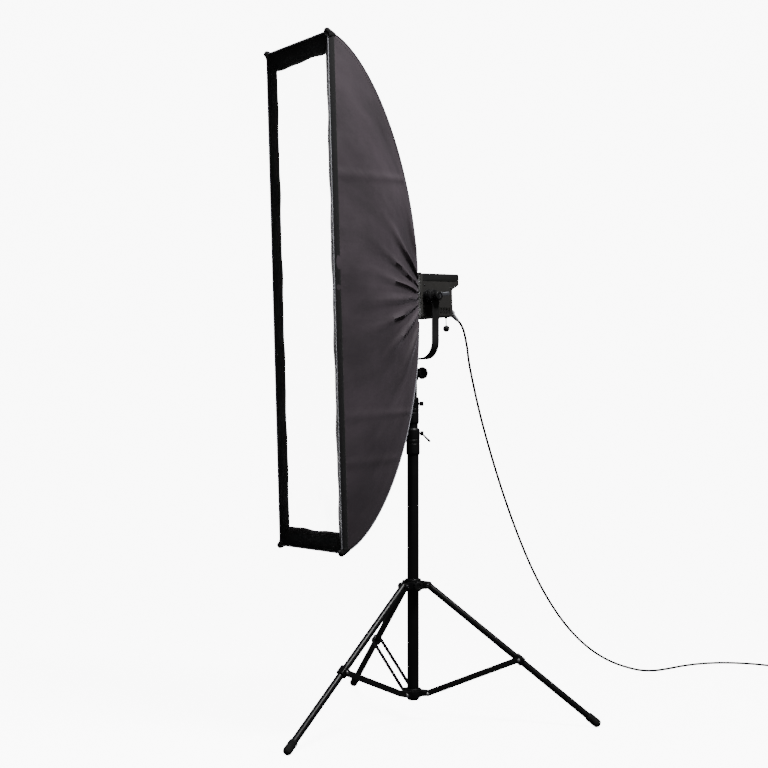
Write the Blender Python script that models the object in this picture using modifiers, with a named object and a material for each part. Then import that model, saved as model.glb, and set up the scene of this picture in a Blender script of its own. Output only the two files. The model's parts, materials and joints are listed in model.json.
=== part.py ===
"""Studio strip softbox on an LED lamp head, with a U-yoke, a three-section light stand and its mains lead.

Units are metres and +Z is up. The softbox faces -Y. The origin is on the floor, under the middle of the
object's footprint without the lead. Head pieces are modelled in the lamp's own frame, whose origin is the
tilt axis, with the lamp level; the head frame then leans it forward.
"""

import math

import bmesh
import bpy
from mathutils import Euler, Matrix, Vector

# ---------------------------------------------------------------- driving dimensions
TOUCH = 0.0003  # gap between two pieces that touch
RUNNING = 0.0003  # radial clearance of a shaft in its hole
SIDES = 20  # facets round a large turned piece
FEW_SIDES = 12  # facets round a small one
SHARP = math.radians(35)  # an edge that turns more than this is shaded sharp

LEG_AZIMUTHS = (-77.3, 42.7, 162.7)  # degrees from +X
FOOTPRINT_RADIUS = 0.529
FOOT_RADIUS = 0.013
FOOT_DEPTH = 0.045
LEG_RADIUS = 0.010
TUBE_WALL = 0.0015
COLLAR_HEIGHT = 0.395  # of the leg hinges above the floor
HUB_HEIGHT = 0.081  # of the brace hinges above the floor
HINGE_RADIUS = 0.045  # of both rows of hinges from the column's axis
BRACE_SHARE = 0.546  # how far down the leg the brace is pinned
BRACE_WIDTH = 0.014
BRACE_BAR = 0.003
BRACKET_WIDTH = 0.0244
BRACKET_LENGTH = 0.028
EAR_THICKNESS = 0.004
PIN_RADIUS = 0.003
COLLAR_LENGTH = 0.036
HUB_LENGTH = 0.026
COLLAR_WALL = 0.007

LOWER_RADIUS = 0.0175
MIDDLE_RADIUS = 0.015
TOP_RADIUS = 0.0125
LOWER_TUBE_BOTTOM = 0.064
LOWER_CLAMP_BASE = 0.775
CLAMP_LENGTH = 0.079
CLAMP_WALL = 0.003
MIDDLE_EXTENSION = 0.012  # bare middle tube between the two clamps
TOP_EXTENSION = 0.040  # bare top tube above the upper clamp
SECTION_OVERLAP = 0.66  # length of a drawn-in section that hides in the one below
SPIGOT_RADIUS = 0.008
SPIGOT_LENGTH = 0.044
SPIGOT_FLANGE = 0.007

LOCK_AZIMUTH = 45.7  # degrees from +X, of both tube clamps' screws
COLLAR_LOCK_AZIMUTH = -17.3
STUD_RADIUS = 0.003
KNOB_RADIUS = 0.018
KNOB_LENGTH = 0.016
SMALL_KNOB_RADIUS = 0.007
TOMMY_BAR = 0.032

YOKE_HALF_WIDTH = 0.103
YOKE_BAR = 0.005
YOKE_WIDTH = 0.025
YOKE_CORNER = 0.052
YOKE_BASE = 0.181  # of its underside below the tilt axis
YOKE_STUD = 0.005  # radius of the pivot studs and of the receiver's stud
RECEIVER_RADIUS = 0.016
RECEIVER_LENGTH = 0.0611
REST_LEAN = 2.0  # degrees that the lamp faces down

HEAD_HALF_WIDTH = 0.072
HEAD_FRONT, HEAD_REAR = -0.024, 0.093
HEAD_BOTTOM, HEAD_TOP = -0.058, 0.068
HOOD_REACH = 0.026
HOOD_DEPTH = 0.032
HEAD_WALL = 0.003
BEZEL_THICKNESS = 0.006
BAYONET_RADIUS = 0.056
PORT_RADIUS = 0.043
BAYONET_LENGTH = 0.0065
PIVOT_RADIUS = 0.021
LEVER_LENGTH = 0.040
RELEASE_LEVER = (0.010, 0.0035, 0.020)
UMBRELLA_X, UMBRELLA_Y = 0.050, 0.083
UMBRELLA_BALL, UMBRELLA_SHANK, UMBRELLA_DROP = 0.010, 0.0017, 0.033

SOURCE_HALF = 0.030
SINK_SIDE, SINK_BASE, SINK_FIN = 0.100, 0.005, 0.040
FAN_SIDE, FAN_DEPTH, FAN_BORE = 0.080, 0.018, 0.037
FAN_HUB, FAN_BLADES = 0.013, 7
DRIVER_BOARD = (0.110, 0.0016, 0.090)

PANEL_THICKNESS = 0.003
CONTROL_ROW, LOWER_ROW = 0.003, -0.036  # heights above the tilt axis
CONTROL_RADIUS, CONTROL_LENGTH = 0.0095, 0.012
DIMMER_X, COLOUR_X = 0.044, 0.018
DISPLAY = (0.050, 0.0012, 0.028)
DISPLAY_X = -0.030
BUTTON_X, BUTTON_RADIUS, BUTTON_TRAVEL = -0.042, 0.0045, 0.0012
SWITCH_X = -0.006
SWITCH = (0.018, 0.005, 0.012)
SWITCH_THROW = 14.0  # degrees, from one side to the other
INLET_X, INLET_Z, INLET_STANDOFF, INLET_RADIUS = 0.030, -0.034, 0.012, 0.0125
CONNECTOR_BODY, CONNECTOR_RELIEF = 0.024, 0.024

BOX_HALF_WIDTH, BOX_HALF_HEIGHT = 0.150, 0.700
BOX_FRONT = -0.390
BOX_DEPTH = 0.353
BOX_REAR_HALF, BOX_REAR_HALF_HEIGHT = 0.070, 0.0714  # clear of the ring, whatever the box's height
FABRIC = 0.0015
LIP_SIDE, LIP_END, LIP_DEPTH = 0.030, 0.053, 0.014
ROD_RADIUS = 0.0028
ROD_INSET = 0.0068
ROD_START = 0.012  # depth of the rods' front ends, behind the lip
BAFFLE_SHARE = 0.48
RING_RADIUS = 0.062
RING_LENGTH = 0.016
SOCKET_RADIUS = 0.0062
SOCKET_LENGTH = 0.028

CORD_DIAMETER = 0.0075
COIL_TURN_RADIUS = 5.5 * CORD_DIAMETER
COIL_TURNS_ACROSS = 3
CONNECTOR_SLOPE = 40.0  # degrees below level
CORD_ROUTE = (
    (0.0881, 0.2265, 1.1748), (0.0881, 0.2352, 1.1680), (0.0878, 0.2444, 1.1563), (0.0871, 0.2534, 1.1386),
    (0.0844, 0.2670, 1.0950), (0.0828, 0.2807, 1.0300), (0.0800, 0.3235, 0.8920), (0.0783, 0.3745, 0.7570),
    (0.0772, 0.4297, 0.6280), (0.0729, 0.4922, 0.5070), (0.0661, 0.5619, 0.3950), (0.0580, 0.6417, 0.2930),
    (0.0488, 0.7317, 0.2040), (0.0385, 0.8348, 0.1290), (0.0272, 0.9519, 0.0700), (0.0131, 1.0844, 0.0270),
    (0.0017, 1.1865, 0.0085), (-0.0055, 1.2773, 0.0040), (-0.0075, 1.3577, 0.0040), (0.0039, 1.4421, 0.0040),
    (0.0408, 1.5195, 0.0040), (0.1031, 1.5750, 0.0040), (0.1654, 1.6024, 0.0040), (0.2211, 1.6097, 0.0040),
    (0.2662, 1.6091, 0.0040),
)
CORD_STEP = 0.027
COIL_CENTRE = (0.2744, 1.6654)

# ---------------------------------------------------------------- sizes that follow
LEG_SPREAD = FOOTPRINT_RADIUS - HINGE_RADIUS
LEG_DROP = COLLAR_HEIGHT - FOOT_RADIUS
LEG_LENGTH = math.hypot(LEG_SPREAD, LEG_DROP)
LEG_ANGLE = math.atan2(LEG_SPREAD, LEG_DROP)
BRACE_PIN = LEG_LENGTH * BRACE_SHARE
BRACE_OUT = BRACE_PIN * math.sin(LEG_ANGLE)
BRACE_UP = COLLAR_HEIGHT - BRACE_PIN * math.cos(LEG_ANGLE) - HUB_HEIGHT
BRACE_LENGTH = math.hypot(BRACE_OUT, BRACE_UP)
BRACE_ANGLE = math.atan2(BRACE_OUT, BRACE_UP)


def middle_of_feet(component):
    """The column's place along X or Y that puts the feet's box around the origin."""
    reach = [FOOTPRINT_RADIUS * component(math.radians(azimuth)) for azimuth in LEG_AZIMUTHS]
    return -(max(reach) + min(reach)) / 2


COLUMN = Vector((middle_of_feet(math.cos), middle_of_feet(math.sin), 0.0))
HEAD_MIDDLE = (HEAD_TOP + HEAD_BOTTOM) / 2
HEAD_HEIGHT = HEAD_TOP - HEAD_BOTTOM
HEAD_LENGTH = HEAD_REAR - HEAD_FRONT
PANEL_FACE = HEAD_REAR + TOUCH + PANEL_THICKNESS
LOWER_CLAMP_TOP = LOWER_CLAMP_BASE + CLAMP_LENGTH
UPPER_CLAMP_BASE = LOWER_CLAMP_TOP + MIDDLE_EXTENSION
UPPER_CLAMP_TOP = UPPER_CLAMP_BASE + CLAMP_LENGTH
TOP_TUBE_END = UPPER_CLAMP_TOP + TOP_EXTENSION
FLANGE_TOP = TOP_TUBE_END + TOUCH + SPIGOT_FLANGE
STUD_TOP = FLANGE_TOP + SPIGOT_LENGTH
RECEIVER_LOW = FLANGE_TOP + TOUCH
YOKE_UNDERSIDE = RECEIVER_LOW + RECEIVER_LENGTH + TOUCH
TILT_HEIGHT = YOKE_UNDERSIDE + YOKE_BASE


# ---------------------------------------------------------------- scene, collections, materials
for old in list(bpy.data.objects):
    bpy.data.objects.remove(old, do_unlink=True)

MODEL = bpy.data.collections.new("studio_softbox")
CUTTERS = bpy.data.collections.new("cutters")
bpy.context.scene.collection.children.link(MODEL)
bpy.context.scene.collection.children.link(CUTTERS)
CUTTERS.hide_render = True


def material(name, colour, roughness, metallic=0.0):
    """A Principled material in one colour."""
    made = bpy.data.materials.new(name)
    made.use_nodes = True
    shader = made.node_tree.nodes["Principled BSDF"]
    shader.inputs["Base Color"].default_value = (*colour, 1.0)
    shader.inputs["Roughness"].default_value = roughness
    shader.inputs["Metallic"].default_value = metallic
    return made


BLACK_PAINT = material("black_paint", (0.012, 0.012, 0.013), 0.38)
BLACK_PLASTIC = material("black_plastic", (0.016, 0.016, 0.017), 0.55)
GREY_CASING = material("grey_casing", (0.022, 0.021, 0.021), 0.6)
RUBBER = material("rubber", (0.010, 0.010, 0.010), 0.85)
FABRIC_BLACK = material("black_fabric", (0.055, 0.045, 0.055), 0.8)
FABRIC_WHITE = material("white_fabric", (0.95, 0.95, 0.95), 0.9)
STEEL = material("steel", (0.55, 0.55, 0.56), 0.3, 1.0)
ALUMINIUM = material("aluminium", (0.7, 0.7, 0.71), 0.4, 1.0)
SPRING_STEEL = material("spring_steel", (0.3, 0.3, 0.31), 0.35, 1.0)
CIRCUIT = material("circuit_board", (0.02, 0.10, 0.04), 0.5)
PHOSPHOR = material("phosphor", (0.9, 0.75, 0.2), 0.5)
SCREEN = material("screen", (0.01, 0.01, 0.012), 0.1)
GREY_CONNECTOR = material("grey_connector", (0.35, 0.35, 0.36), 0.45)


# ---------------------------------------------------------------- modelling helpers
def empty(name, parent=None, location=(0, 0, 0), rotation=(0, 0, 0)):
    """A frame that pieces are parented to."""
    made = bpy.data.objects.new(name, None)
    MODEL.objects.link(made)
    made.parent = parent
    made.location = location
    made.rotation_euler = rotation
    return made


def place(made, finish, parent, location=(0, 0, 0), rotation=(0, 0, 0)):
    """Puts an object in its collection, with its finish. A piece with no finish is a cutter."""
    if finish is None:
        CUTTERS.objects.link(made)
        made.hide_render = True
        made.display_type = "WIRE"
    else:
        MODEL.objects.link(made)
        made.data.materials.append(finish)
    made.parent = parent
    made.location = location
    made.rotation_euler = rotation
    return made


def mesh_from(name, bm, outward=True):
    """A mesh from a bmesh, smooth over its round sides. Outward turns the faces of a closed shape out."""
    if outward:
        bmesh.ops.recalc_face_normals(bm, faces=bm.faces)
    mesh = bpy.data.meshes.new(name)
    bm.to_mesh(mesh)
    bm.free()
    mesh.shade_smooth()
    mesh.set_sharp_from_angle(angle=SHARP)
    return mesh


def blocks(name, boxes, finish, parent, location=(0, 0, 0), rotation=(0, 0, 0), bevel=0.0):
    """One object of boxes, each (size, centre, rotation). Several boxes are a cutter's separate teeth."""
    bm = bmesh.new()
    for size, centre, turn in boxes:
        shape = Matrix.LocRotScale(Vector(centre), Euler(turn), Vector(size))
        bmesh.ops.create_cube(bm, size=1.0, matrix=shape)
    made = place(bpy.data.objects.new(name, mesh_from(name, bm)), finish, parent, location, rotation)
    if bevel:
        round_edges(made, bevel)
    return made


def block(name, size, centre, finish, parent, rotation=(0, 0, 0), bevel=0.0):
    """One box with its origin at its centre."""
    return blocks(name, [(size, (0, 0, 0), (0, 0, 0))], finish, parent, centre, rotation, bevel)


def round_edges(made, width, segments=1):
    """Bevels every sharp edge."""
    bevel = made.modifiers.new("edges", "BEVEL")
    bevel.width = width
    bevel.segments = segments
    bevel.limit_method = "ANGLE"
    bevel.angle_limit = math.radians(40)
    return bevel


def turned(name, profile, finish, parent, location=(0, 0, 0), rotation=(0, 0, 0), sides=SIDES, ring=False):
    """A profile of (radius, height) points, run down the outer side, turned about local Z."""
    mesh = bpy.data.meshes.new(name)
    count = len(profile)
    edges = [(i, (i + 1) % count) for i in range(count if ring else count - 1)]
    mesh.from_pydata([(radius, 0.0, height) for radius, height in profile], edges, [])
    made = place(bpy.data.objects.new(name, mesh), finish, parent, location, rotation)
    screw = made.modifiers.new("turn", "SCREW")
    screw.axis = "Z"
    screw.steps = screw.render_steps = sides
    screw.use_merge_vertices = True
    screw.merge_threshold = 0.00001
    screw.use_smooth_shade = True
    return made


def drum(name, radius, low, high, finish, parent, location=(0, 0, 0), rotation=(0, 0, 0), sides=SIDES,
         chamfer=0.0):
    """A solid cylinder about local Z, with optional chamfers."""
    profile = [(0, high), (radius - chamfer, high), (radius, high - chamfer), (radius, low + chamfer),
               (radius - chamfer, low), (0, low)]
    if not chamfer:
        profile = [(0, high), (radius, high), (radius, low), (0, low)]
    return turned(name, profile, finish, parent, location, rotation, sides)


def pipe(name, radius, bore, low, high, finish, parent, location=(0, 0, 0), rotation=(0, 0, 0), sides=SIDES):
    """A straight tube about local Z."""
    profile = [(radius, high), (radius, low), (bore, low), (bore, high)]
    return turned(name, profile, finish, parent, location, rotation, sides, ring=True)


def plate(name, outline, thickness, finish, parent, location=(0, 0, 0), rotation=(0, 0, 0)):
    """A flat outline in local XY, with half its thickness on each side."""
    curve = bpy.data.curves.new(name + "_outline", "CURVE")
    curve.dimensions = "2D"
    curve.fill_mode = "BOTH"
    curve.extrude = thickness / 2
    spline = curve.splines.new("POLY")
    spline.points.add(len(outline) - 1)
    for point, (x, y) in zip(spline.points, outline):
        point.co = (x, y, 0.0, 1.0)
    spline.use_cyclic_u = True
    return place(curve_to_mesh(name, curve), finish, parent, location, rotation)


def wire(name, points, radius, finish, parent, resolution=2):
    """A round bar along points."""
    curve = bpy.data.curves.new(name + "_line", "CURVE")
    curve.dimensions = "3D"
    curve.bevel_depth = radius
    curve.bevel_resolution = resolution
    curve.use_fill_caps = True
    spline = curve.splines.new("POLY")
    spline.points.add(len(points) - 1)
    for point, co in zip(spline.points, points):
        point.co = (*co, 1.0)
    return place(curve_to_mesh(name, curve), finish, parent)


def curve_to_mesh(name, curve):
    """The curve's own surface as a mesh object, with its loose caps welded on."""
    source = bpy.data.objects.new(name + "_curve", curve)
    bpy.context.scene.collection.objects.link(source)
    mesh = bpy.data.meshes.new_from_object(source.evaluated_get(bpy.context.evaluated_depsgraph_get()))
    bpy.data.objects.remove(source, do_unlink=True)
    bm = bmesh.new()
    bm.from_mesh(mesh)
    bmesh.ops.remove_doubles(bm, verts=bm.verts, dist=0.00001)
    return bpy.data.objects.new(name, mesh_from(name, bm))


def sheet(name, shape, across, along, thickness, finish, parent):
    """A curved sheet: a grid whose (u, v), each 0 to 1, go to shape(u, v), thickened inward."""
    bm = bmesh.new()
    bmesh.ops.create_grid(bm, x_segments=across, y_segments=along, size=0.5)
    for vertex in bm.verts:
        vertex.co = shape(vertex.co.x + 0.5, vertex.co.y + 0.5)
    made = place(bpy.data.objects.new(name, mesh_from(name, bm, outward=False)), finish, parent)
    thicken(made, thickness)
    return made


def thicken(made, thickness, offset=-1.0):
    """Gives an open surface its thickness."""
    solid = made.modifiers.new("thickness", "SOLIDIFY")
    solid.thickness = thickness
    solid.offset = offset
    return solid


def combine(target, *others, operation="UNION"):
    """Joins or cuts target with other pieces, which stay as cutters."""
    for other in others:
        boolean = target.modifiers.new(other.name, "BOOLEAN")
        boolean.operation = operation
        boolean.solver = "EXACT"
        boolean.object = other
    return target


def cut(target, *others):
    """Takes other pieces away from target."""
    return combine(target, *others, operation="DIFFERENCE")


def aimed(direction):
    """The rotation that turns local Z to a direction."""
    return Vector(direction).to_track_quat("Z", "Y").to_euler()


def level(azimuth):
    """The level direction at an azimuth in degrees from +X."""
    angle = math.radians(azimuth)
    return Vector((math.cos(angle), math.sin(angle), 0.0))


# ---------------------------------------------------------------- stand
STAND = empty("stand_frame", location=COLUMN)
HEAD_UP = Vector((0, 0, TILT_HEIGHT))
YOKE = empty("yoke_frame", STAND, HEAD_UP)
HEAD = empty("head_frame", STAND, HEAD_UP, (math.radians(REST_LEAN), 0, 0))


def drill_for_lock(target, azimuth, height, reach):
    """The hole that a lock screw passes through, from the tube outward."""
    hole = drum(target.name + "_lock_hole", STUD_RADIUS + RUNNING, 0.002, reach, None, STAND,
                (0, 0, height), aimed(level(azimuth)), FEW_SIDES)
    return cut(target, hole)


def lock_knob(name, start, length, radius, knob_length, height, direction, parent):
    """A round knob on its stud. Its axis goes out along direction, from start out from the column."""
    end = length + knob_length
    edge = knob_length * 0.14
    profile = [(0, end), (radius - 2 * edge, end), (radius - edge, end - edge * 0.5),
               (radius, end - 2 * edge), (radius, length + edge), (radius - edge, length),
               (STUD_RADIUS, length), (STUD_RADIUS, 0), (0, 0)]
    spot = direction * start + Vector((0, 0, height))
    return turned(name, profile, BLACK_PLASTIC, parent, spot, aimed(direction))


def stand_ring(name, height, length, bore, finish):
    """The plain ring of the collar or the hub, round the column."""
    low, high = height - length / 2, height + length / 2
    radius = bore + COLLAR_WALL
    edge = 0.002
    profile = [(bore, high), (radius - edge, high), (radius, high - edge), (radius, low + edge),
               (radius - edge, low), (bore, low)]
    return turned(name, profile, finish, STAND, ring=True)


def radial_block(name, near, far, width, height, z, azimuth):
    """A cutter box that reaches out from the column between two radii."""
    centre = level(azimuth) * ((near + far) / 2) + Vector((0, 0, z))
    return block(name, (far - near, width, height), centre, None, STAND, (0, 0, math.radians(azimuth)))


def cross_hole(name, radius, half, z, azimuth, sides=FEW_SIDES):
    """A cutter across a hinge, along the hinge's own axis."""
    spot = level(azimuth) * HINGE_RADIUS + Vector((0, 0, z))
    return drum(name, radius, -half, half, None, STAND, spot, aimed(level(azimuth + 90)), sides)


def build_collar():
    """The sliding collar: a ring with a pair of ears for each leg."""
    bore = LOWER_RADIUS + RUNNING
    ring = stand_ring("leg_collar", COLLAR_HEIGHT, COLLAR_LENGTH, bore, BLACK_PLASTIC)
    gap = 2 * (LEG_RADIUS + TOUCH)
    near = bore + COLLAR_WALL / 2
    far = HINGE_RADIUS + LEG_RADIUS
    for number, azimuth in enumerate(LEG_AZIMUTHS, 1):
        ears = radial_block(f"collar_ears_{number}", near, far, gap + 2 * EAR_THICKNESS,
                            COLLAR_LENGTH * 0.83, COLLAR_HEIGHT, azimuth)
        combine(ring, ears)
    for number, azimuth in enumerate(LEG_AZIMUTHS, 1):
        slot = radial_block(f"collar_slot_{number}", bore + COLLAR_WALL, far * 1.5, gap,
                            COLLAR_LENGTH * 2, COLLAR_HEIGHT, azimuth)
        hole = cross_hole(f"collar_hole_{number}", PIN_RADIUS + RUNNING, gap, COLLAR_HEIGHT, azimuth)
        cut(ring, slot, hole)
    drill_for_lock(ring, COLLAR_LOCK_AZIMUTH, COLLAR_HEIGHT, bore + 2 * COLLAR_WALL)
    lock_knob("leg_lock_knob", LOWER_RADIUS + TOUCH, COLLAR_WALL + 0.006, KNOB_RADIUS * 0.8, KNOB_LENGTH,
              COLLAR_HEIGHT, level(COLLAR_LOCK_AZIMUTH), STAND)


def build_hub():
    """The fixed hub at the foot of the column, with a lug for each brace."""
    bore = LOWER_RADIUS + TOUCH
    ring = stand_ring("brace_hub", HUB_HEIGHT, HUB_LENGTH, bore, BLACK_PLASTIC)
    for number, azimuth in enumerate(LEG_AZIMUTHS, 1):
        lug = radial_block(f"hub_lug_{number}", bore + COLLAR_WALL / 2, HINGE_RADIUS + BRACE_WIDTH / 2,
                           BRACKET_WIDTH, HUB_LENGTH * 0.7, HUB_HEIGHT, azimuth)
        hole = cross_hole(f"hub_hole_{number}", PIN_RADIUS + RUNNING, BRACKET_WIDTH, HUB_HEIGHT, azimuth)
        combine(ring, lug)
        cut(ring, hole)


def build_leg(number, azimuth):
    """A hollow leg with its hinge pin and brace bracket, and the rubber foot on its end."""
    spot = level(azimuth) * HINGE_RADIUS + Vector((0, 0, COLLAR_HEIGHT))
    turn = (0, -LEG_ANGLE, math.radians(azimuth))
    hinge = empty(f"leg_hinge_{number}", STAND, spot, turn)
    leg = pipe(f"leg_{number}", LEG_RADIUS, LEG_RADIUS - TUBE_WALL, -LEG_LENGTH + FOOT_RADIUS, LEG_RADIUS,
               BLACK_PAINT, hinge, sides=FEW_SIDES)
    reach = LEG_RADIUS + TOUCH + EAR_THICKNESS
    pin = drum(f"leg_pin_{number}", PIN_RADIUS, -reach, reach, None, hinge, rotation=aimed((0, 1, 0)), sides=8)
    bracket = block(f"leg_bracket_{number}", (BRACKET_WIDTH, BRACKET_WIDTH, BRACKET_LENGTH),
                    (0, 0, -BRACE_PIN), None, hinge)
    combine(leg, pin, bracket)

    tip = -LEG_LENGTH
    floor_of_bore = tip + FOOT_RADIUS - TOUCH
    bore = LEG_RADIUS + TOUCH
    rim = floor_of_bore + FOOT_DEPTH
    dome = [(FOOT_RADIUS * math.cos(math.radians(angle)), tip - FOOT_RADIUS * math.sin(math.radians(angle)))
            for angle in (0, 30, 60)]
    profile = [(0, floor_of_bore), (bore, floor_of_bore), (bore, rim), (FOOT_RADIUS, rim), *dome,
               (0, tip - FOOT_RADIUS)]
    turned(f"foot_{number}", profile, RUBBER, hinge, sides=FEW_SIDES)


def stadium(length, width, steps=4):
    """A flat bar's outline with round ends, from its first pin at the origin along X."""
    radius = width / 2
    turns = [math.radians(-90 + 180 * i / steps) for i in range(steps + 1)]
    far = [(length + radius * math.cos(angle), radius * math.sin(angle)) for angle in turns]
    near = [(-radius * math.cos(angle), -radius * math.sin(angle)) for angle in turns]
    return far + near


def build_brace(number, azimuth):
    """Two flat bars on one pin through the hub's lug. Their far ends straddle the leg's bracket."""
    spot = level(azimuth) * HINGE_RADIUS + Vector((0, 0, HUB_HEIGHT))
    hinge = empty(f"brace_hinge_{number}", STAND, spot, (0, BRACE_ANGLE, math.radians(azimuth)))
    side = BRACKET_WIDTH / 2 + TOUCH + BRACE_BAR / 2
    outline = stadium(BRACE_LENGTH, BRACE_WIDTH)
    along = Matrix(((0, 1, 0), (0, 0, 1), (1, 0, 0))).to_euler()
    bar = plate(f"brace_{number}", outline, BRACE_BAR, BLACK_PAINT, hinge, (0, side, 0), along)
    other = plate(f"brace_bar_{number}", outline, BRACE_BAR, None, hinge, (0, -side, 0), along)
    reach = side + BRACE_BAR
    pin = drum(f"brace_pin_{number}", PIN_RADIUS, -reach, reach, None, hinge, rotation=aimed((0, 1, 0)),
               sides=8)
    combine(bar, other, pin)


def tube_clamp(name, low, lower, upper):
    """A clamp casting: its lower half holds one tube's end, and the next tube slides in its upper half."""
    high = low + CLAMP_LENGTH
    step = low + CLAMP_LENGTH / 2
    radius = lower + CLAMP_WALL
    edge = 0.006
    profile = [(upper + RUNNING, high), (radius - edge * 0.6, high), (radius, high - edge),
               (radius, low + edge), (radius - edge * 0.35, low), (lower + TOUCH, low),
               (lower + TOUCH, step), (upper + RUNNING, step)]
    return turned(name, profile, BLACK_PLASTIC, STAND, ring=True)


def build_lever():
    """The lower clamp's tommy lever: a boss on its stud, with a bar that hangs down and outward."""
    height = LOWER_CLAMP_TOP - 0.2 * CLAMP_LENGTH
    out = level(LOCK_AZIMUTH)
    start = MIDDLE_RADIUS + TOUCH
    length = LOWER_RADIUS + CLAMP_WALL - MIDDLE_RADIUS + 0.001
    lever = lock_knob("lower_lock_lever", start, length, SMALL_KNOB_RADIUS, 0.010, height, out, STAND)
    bar_start = out * (start + length + 0.004) + Vector((0, 0, height))
    bar_end = bar_start + (out - Vector((0, 0, 1))).normalized() * TOMMY_BAR
    combine(lever, wire("lower_lever_bar", [bar_start, bar_end], 0.0032, None, STAND, resolution=1))
    return height


def build_column():
    """The three tubes, their clamps and locks, and the stud on top."""
    half_clamp = CLAMP_LENGTH / 2
    pipe("lower_tube", LOWER_RADIUS, LOWER_RADIUS - TUBE_WALL, LOWER_TUBE_BOTTOM,
         LOWER_CLAMP_BASE + half_clamp - TOUCH, BLACK_PAINT, STAND)
    plug = LOWER_RADIUS - TUBE_WALL - TOUCH
    low = LOWER_TUBE_BOTTOM - TOUCH
    turned("column_end_cap", [(0, low + 0.012), (plug, low + 0.012), (plug, low), (LOWER_RADIUS, low),
                              (LOWER_RADIUS - 0.002, low - 0.004), (0, low - 0.004)], RUBBER, STAND)
    clamp = tube_clamp("lower_clamp", LOWER_CLAMP_BASE, LOWER_RADIUS, MIDDLE_RADIUS)
    drill_for_lock(clamp, LOCK_AZIMUTH, build_lever(), 2 * LOWER_RADIUS)

    pipe("middle_tube", MIDDLE_RADIUS, MIDDLE_RADIUS - TUBE_WALL, UPPER_CLAMP_BASE - SECTION_OVERLAP,
         UPPER_CLAMP_BASE + half_clamp - TOUCH, BLACK_PAINT, STAND)
    clamp = tube_clamp("upper_clamp", UPPER_CLAMP_BASE, MIDDLE_RADIUS, TOP_RADIUS)
    knob_height = UPPER_CLAMP_BASE + 0.75 * CLAMP_LENGTH
    drill_for_lock(clamp, LOCK_AZIMUTH, knob_height, 2 * LOWER_RADIUS)
    lock_knob("upper_lock_knob", TOP_RADIUS + TOUCH, MIDDLE_RADIUS + CLAMP_WALL - TOP_RADIUS + 0.001,
              SMALL_KNOB_RADIUS, 0.012, knob_height, level(LOCK_AZIMUTH), STAND)

    bore = TOP_RADIUS - TUBE_WALL
    pipe("top_tube", TOP_RADIUS, bore, UPPER_CLAMP_TOP - SECTION_OVERLAP, TOP_TUBE_END, BLACK_PAINT, STAND)
    face = TOP_TUBE_END + TOUCH
    shank = face - 2 * TOP_RADIUS
    groove = SPIGOT_RADIUS * 0.82
    groove_low, groove_high = FLANGE_TOP + 0.36 * SPIGOT_LENGTH, FLANGE_TOP + 0.64 * SPIGOT_LENGTH
    edge = 0.001
    turned("spigot", [(0, STUD_TOP), (SPIGOT_RADIUS - edge, STUD_TOP), (SPIGOT_RADIUS, STUD_TOP - edge),
                      (SPIGOT_RADIUS, groove_high + 3 * edge), (groove, groove_high), (groove, groove_low),
                      (SPIGOT_RADIUS, groove_low - 3 * edge), (SPIGOT_RADIUS, FLANGE_TOP),
                      (TOP_RADIUS, FLANGE_TOP), (TOP_RADIUS, face), (bore - TOUCH, face),
                      (bore - TOUCH, shank), (0, shank)], STEEL, STAND)


# ---------------------------------------------------------------- yoke
def yoke_outline(half, drop, corner, steps=6):
    """The outer or inner line of the U, from one arm's top round to the other's."""
    arc = [math.radians(90 * i / steps) for i in range(steps + 1)]
    right = [(half - corner + corner * math.cos(a), -drop + corner - corner * math.sin(a)) for a in arc]
    return [(half, YOKE_WIDTH / 2), *right, *[(-x, z) for x, z in reversed(right)], (-half, YOKE_WIDTH / 2)]


def build_yoke():
    """The U of flat bar, the receiver under it on the spigot, and the receiver's knob."""
    outer_half = YOKE_HALF_WIDTH + YOKE_BAR / 2
    outline = yoke_outline(outer_half, YOKE_BASE, YOKE_CORNER)
    inner = yoke_outline(outer_half - YOKE_BAR, YOKE_BASE - YOKE_BAR, YOKE_CORNER - YOKE_BAR)
    yoke = plate("yoke", outline + inner[::-1], YOKE_WIDTH, BLACK_PAINT, YOKE,
                 rotation=(math.radians(90), 0, 0))
    cut(yoke, drum("yoke_stud_hole", YOKE_STUD + RUNNING, -YOKE_BASE - YOKE_BAR, -YOKE_BASE + 2 * YOKE_BAR,
                   None, YOKE, sides=FEW_SIDES))
    for side, name in ((1, "right"), (-1, "left")):
        hole = drum(f"yoke_pivot_hole_{name}", YOKE_STUD + RUNNING, -YOKE_BAR, YOKE_BAR, None, YOKE,
                    (side * YOKE_HALF_WIDTH, 0, 0), aimed((1, 0, 0)), FEW_SIDES)
        cut(yoke, hole)

    seat = YOKE_UNDERSIDE - TOUCH
    rivet = YOKE_UNDERSIDE + YOKE_BAR + TOUCH
    rivet_radius = 1.9 * YOKE_STUD
    bore = SPIGOT_RADIUS + RUNNING
    receiver = turned("stand_receiver", [(0, rivet + 0.006), (rivet_radius - 0.001, rivet + 0.006),
                                         (rivet_radius, rivet + 0.004), (rivet_radius, rivet),
                                         (YOKE_STUD, rivet), (YOKE_STUD, seat), (RECEIVER_RADIUS, seat),
                                         (RECEIVER_RADIUS, RECEIVER_LOW + 0.003),
                                         (RECEIVER_RADIUS - 0.003, RECEIVER_LOW), (bore, RECEIVER_LOW),
                                         (bore, STUD_TOP + TOUCH), (0, STUD_TOP + TOUCH)], BLACK_PAINT, STAND)
    height = FLANGE_TOP + SPIGOT_LENGTH / 2
    drill_for_lock(receiver, 0.0, height, 2 * RECEIVER_RADIUS)
    start = SPIGOT_RADIUS + TOUCH
    lock_knob("receiver_knob", start, RECEIVER_RADIUS - start + 0.019, KNOB_RADIUS, KNOB_LENGTH, height,
              level(0.0), STAND)


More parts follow.
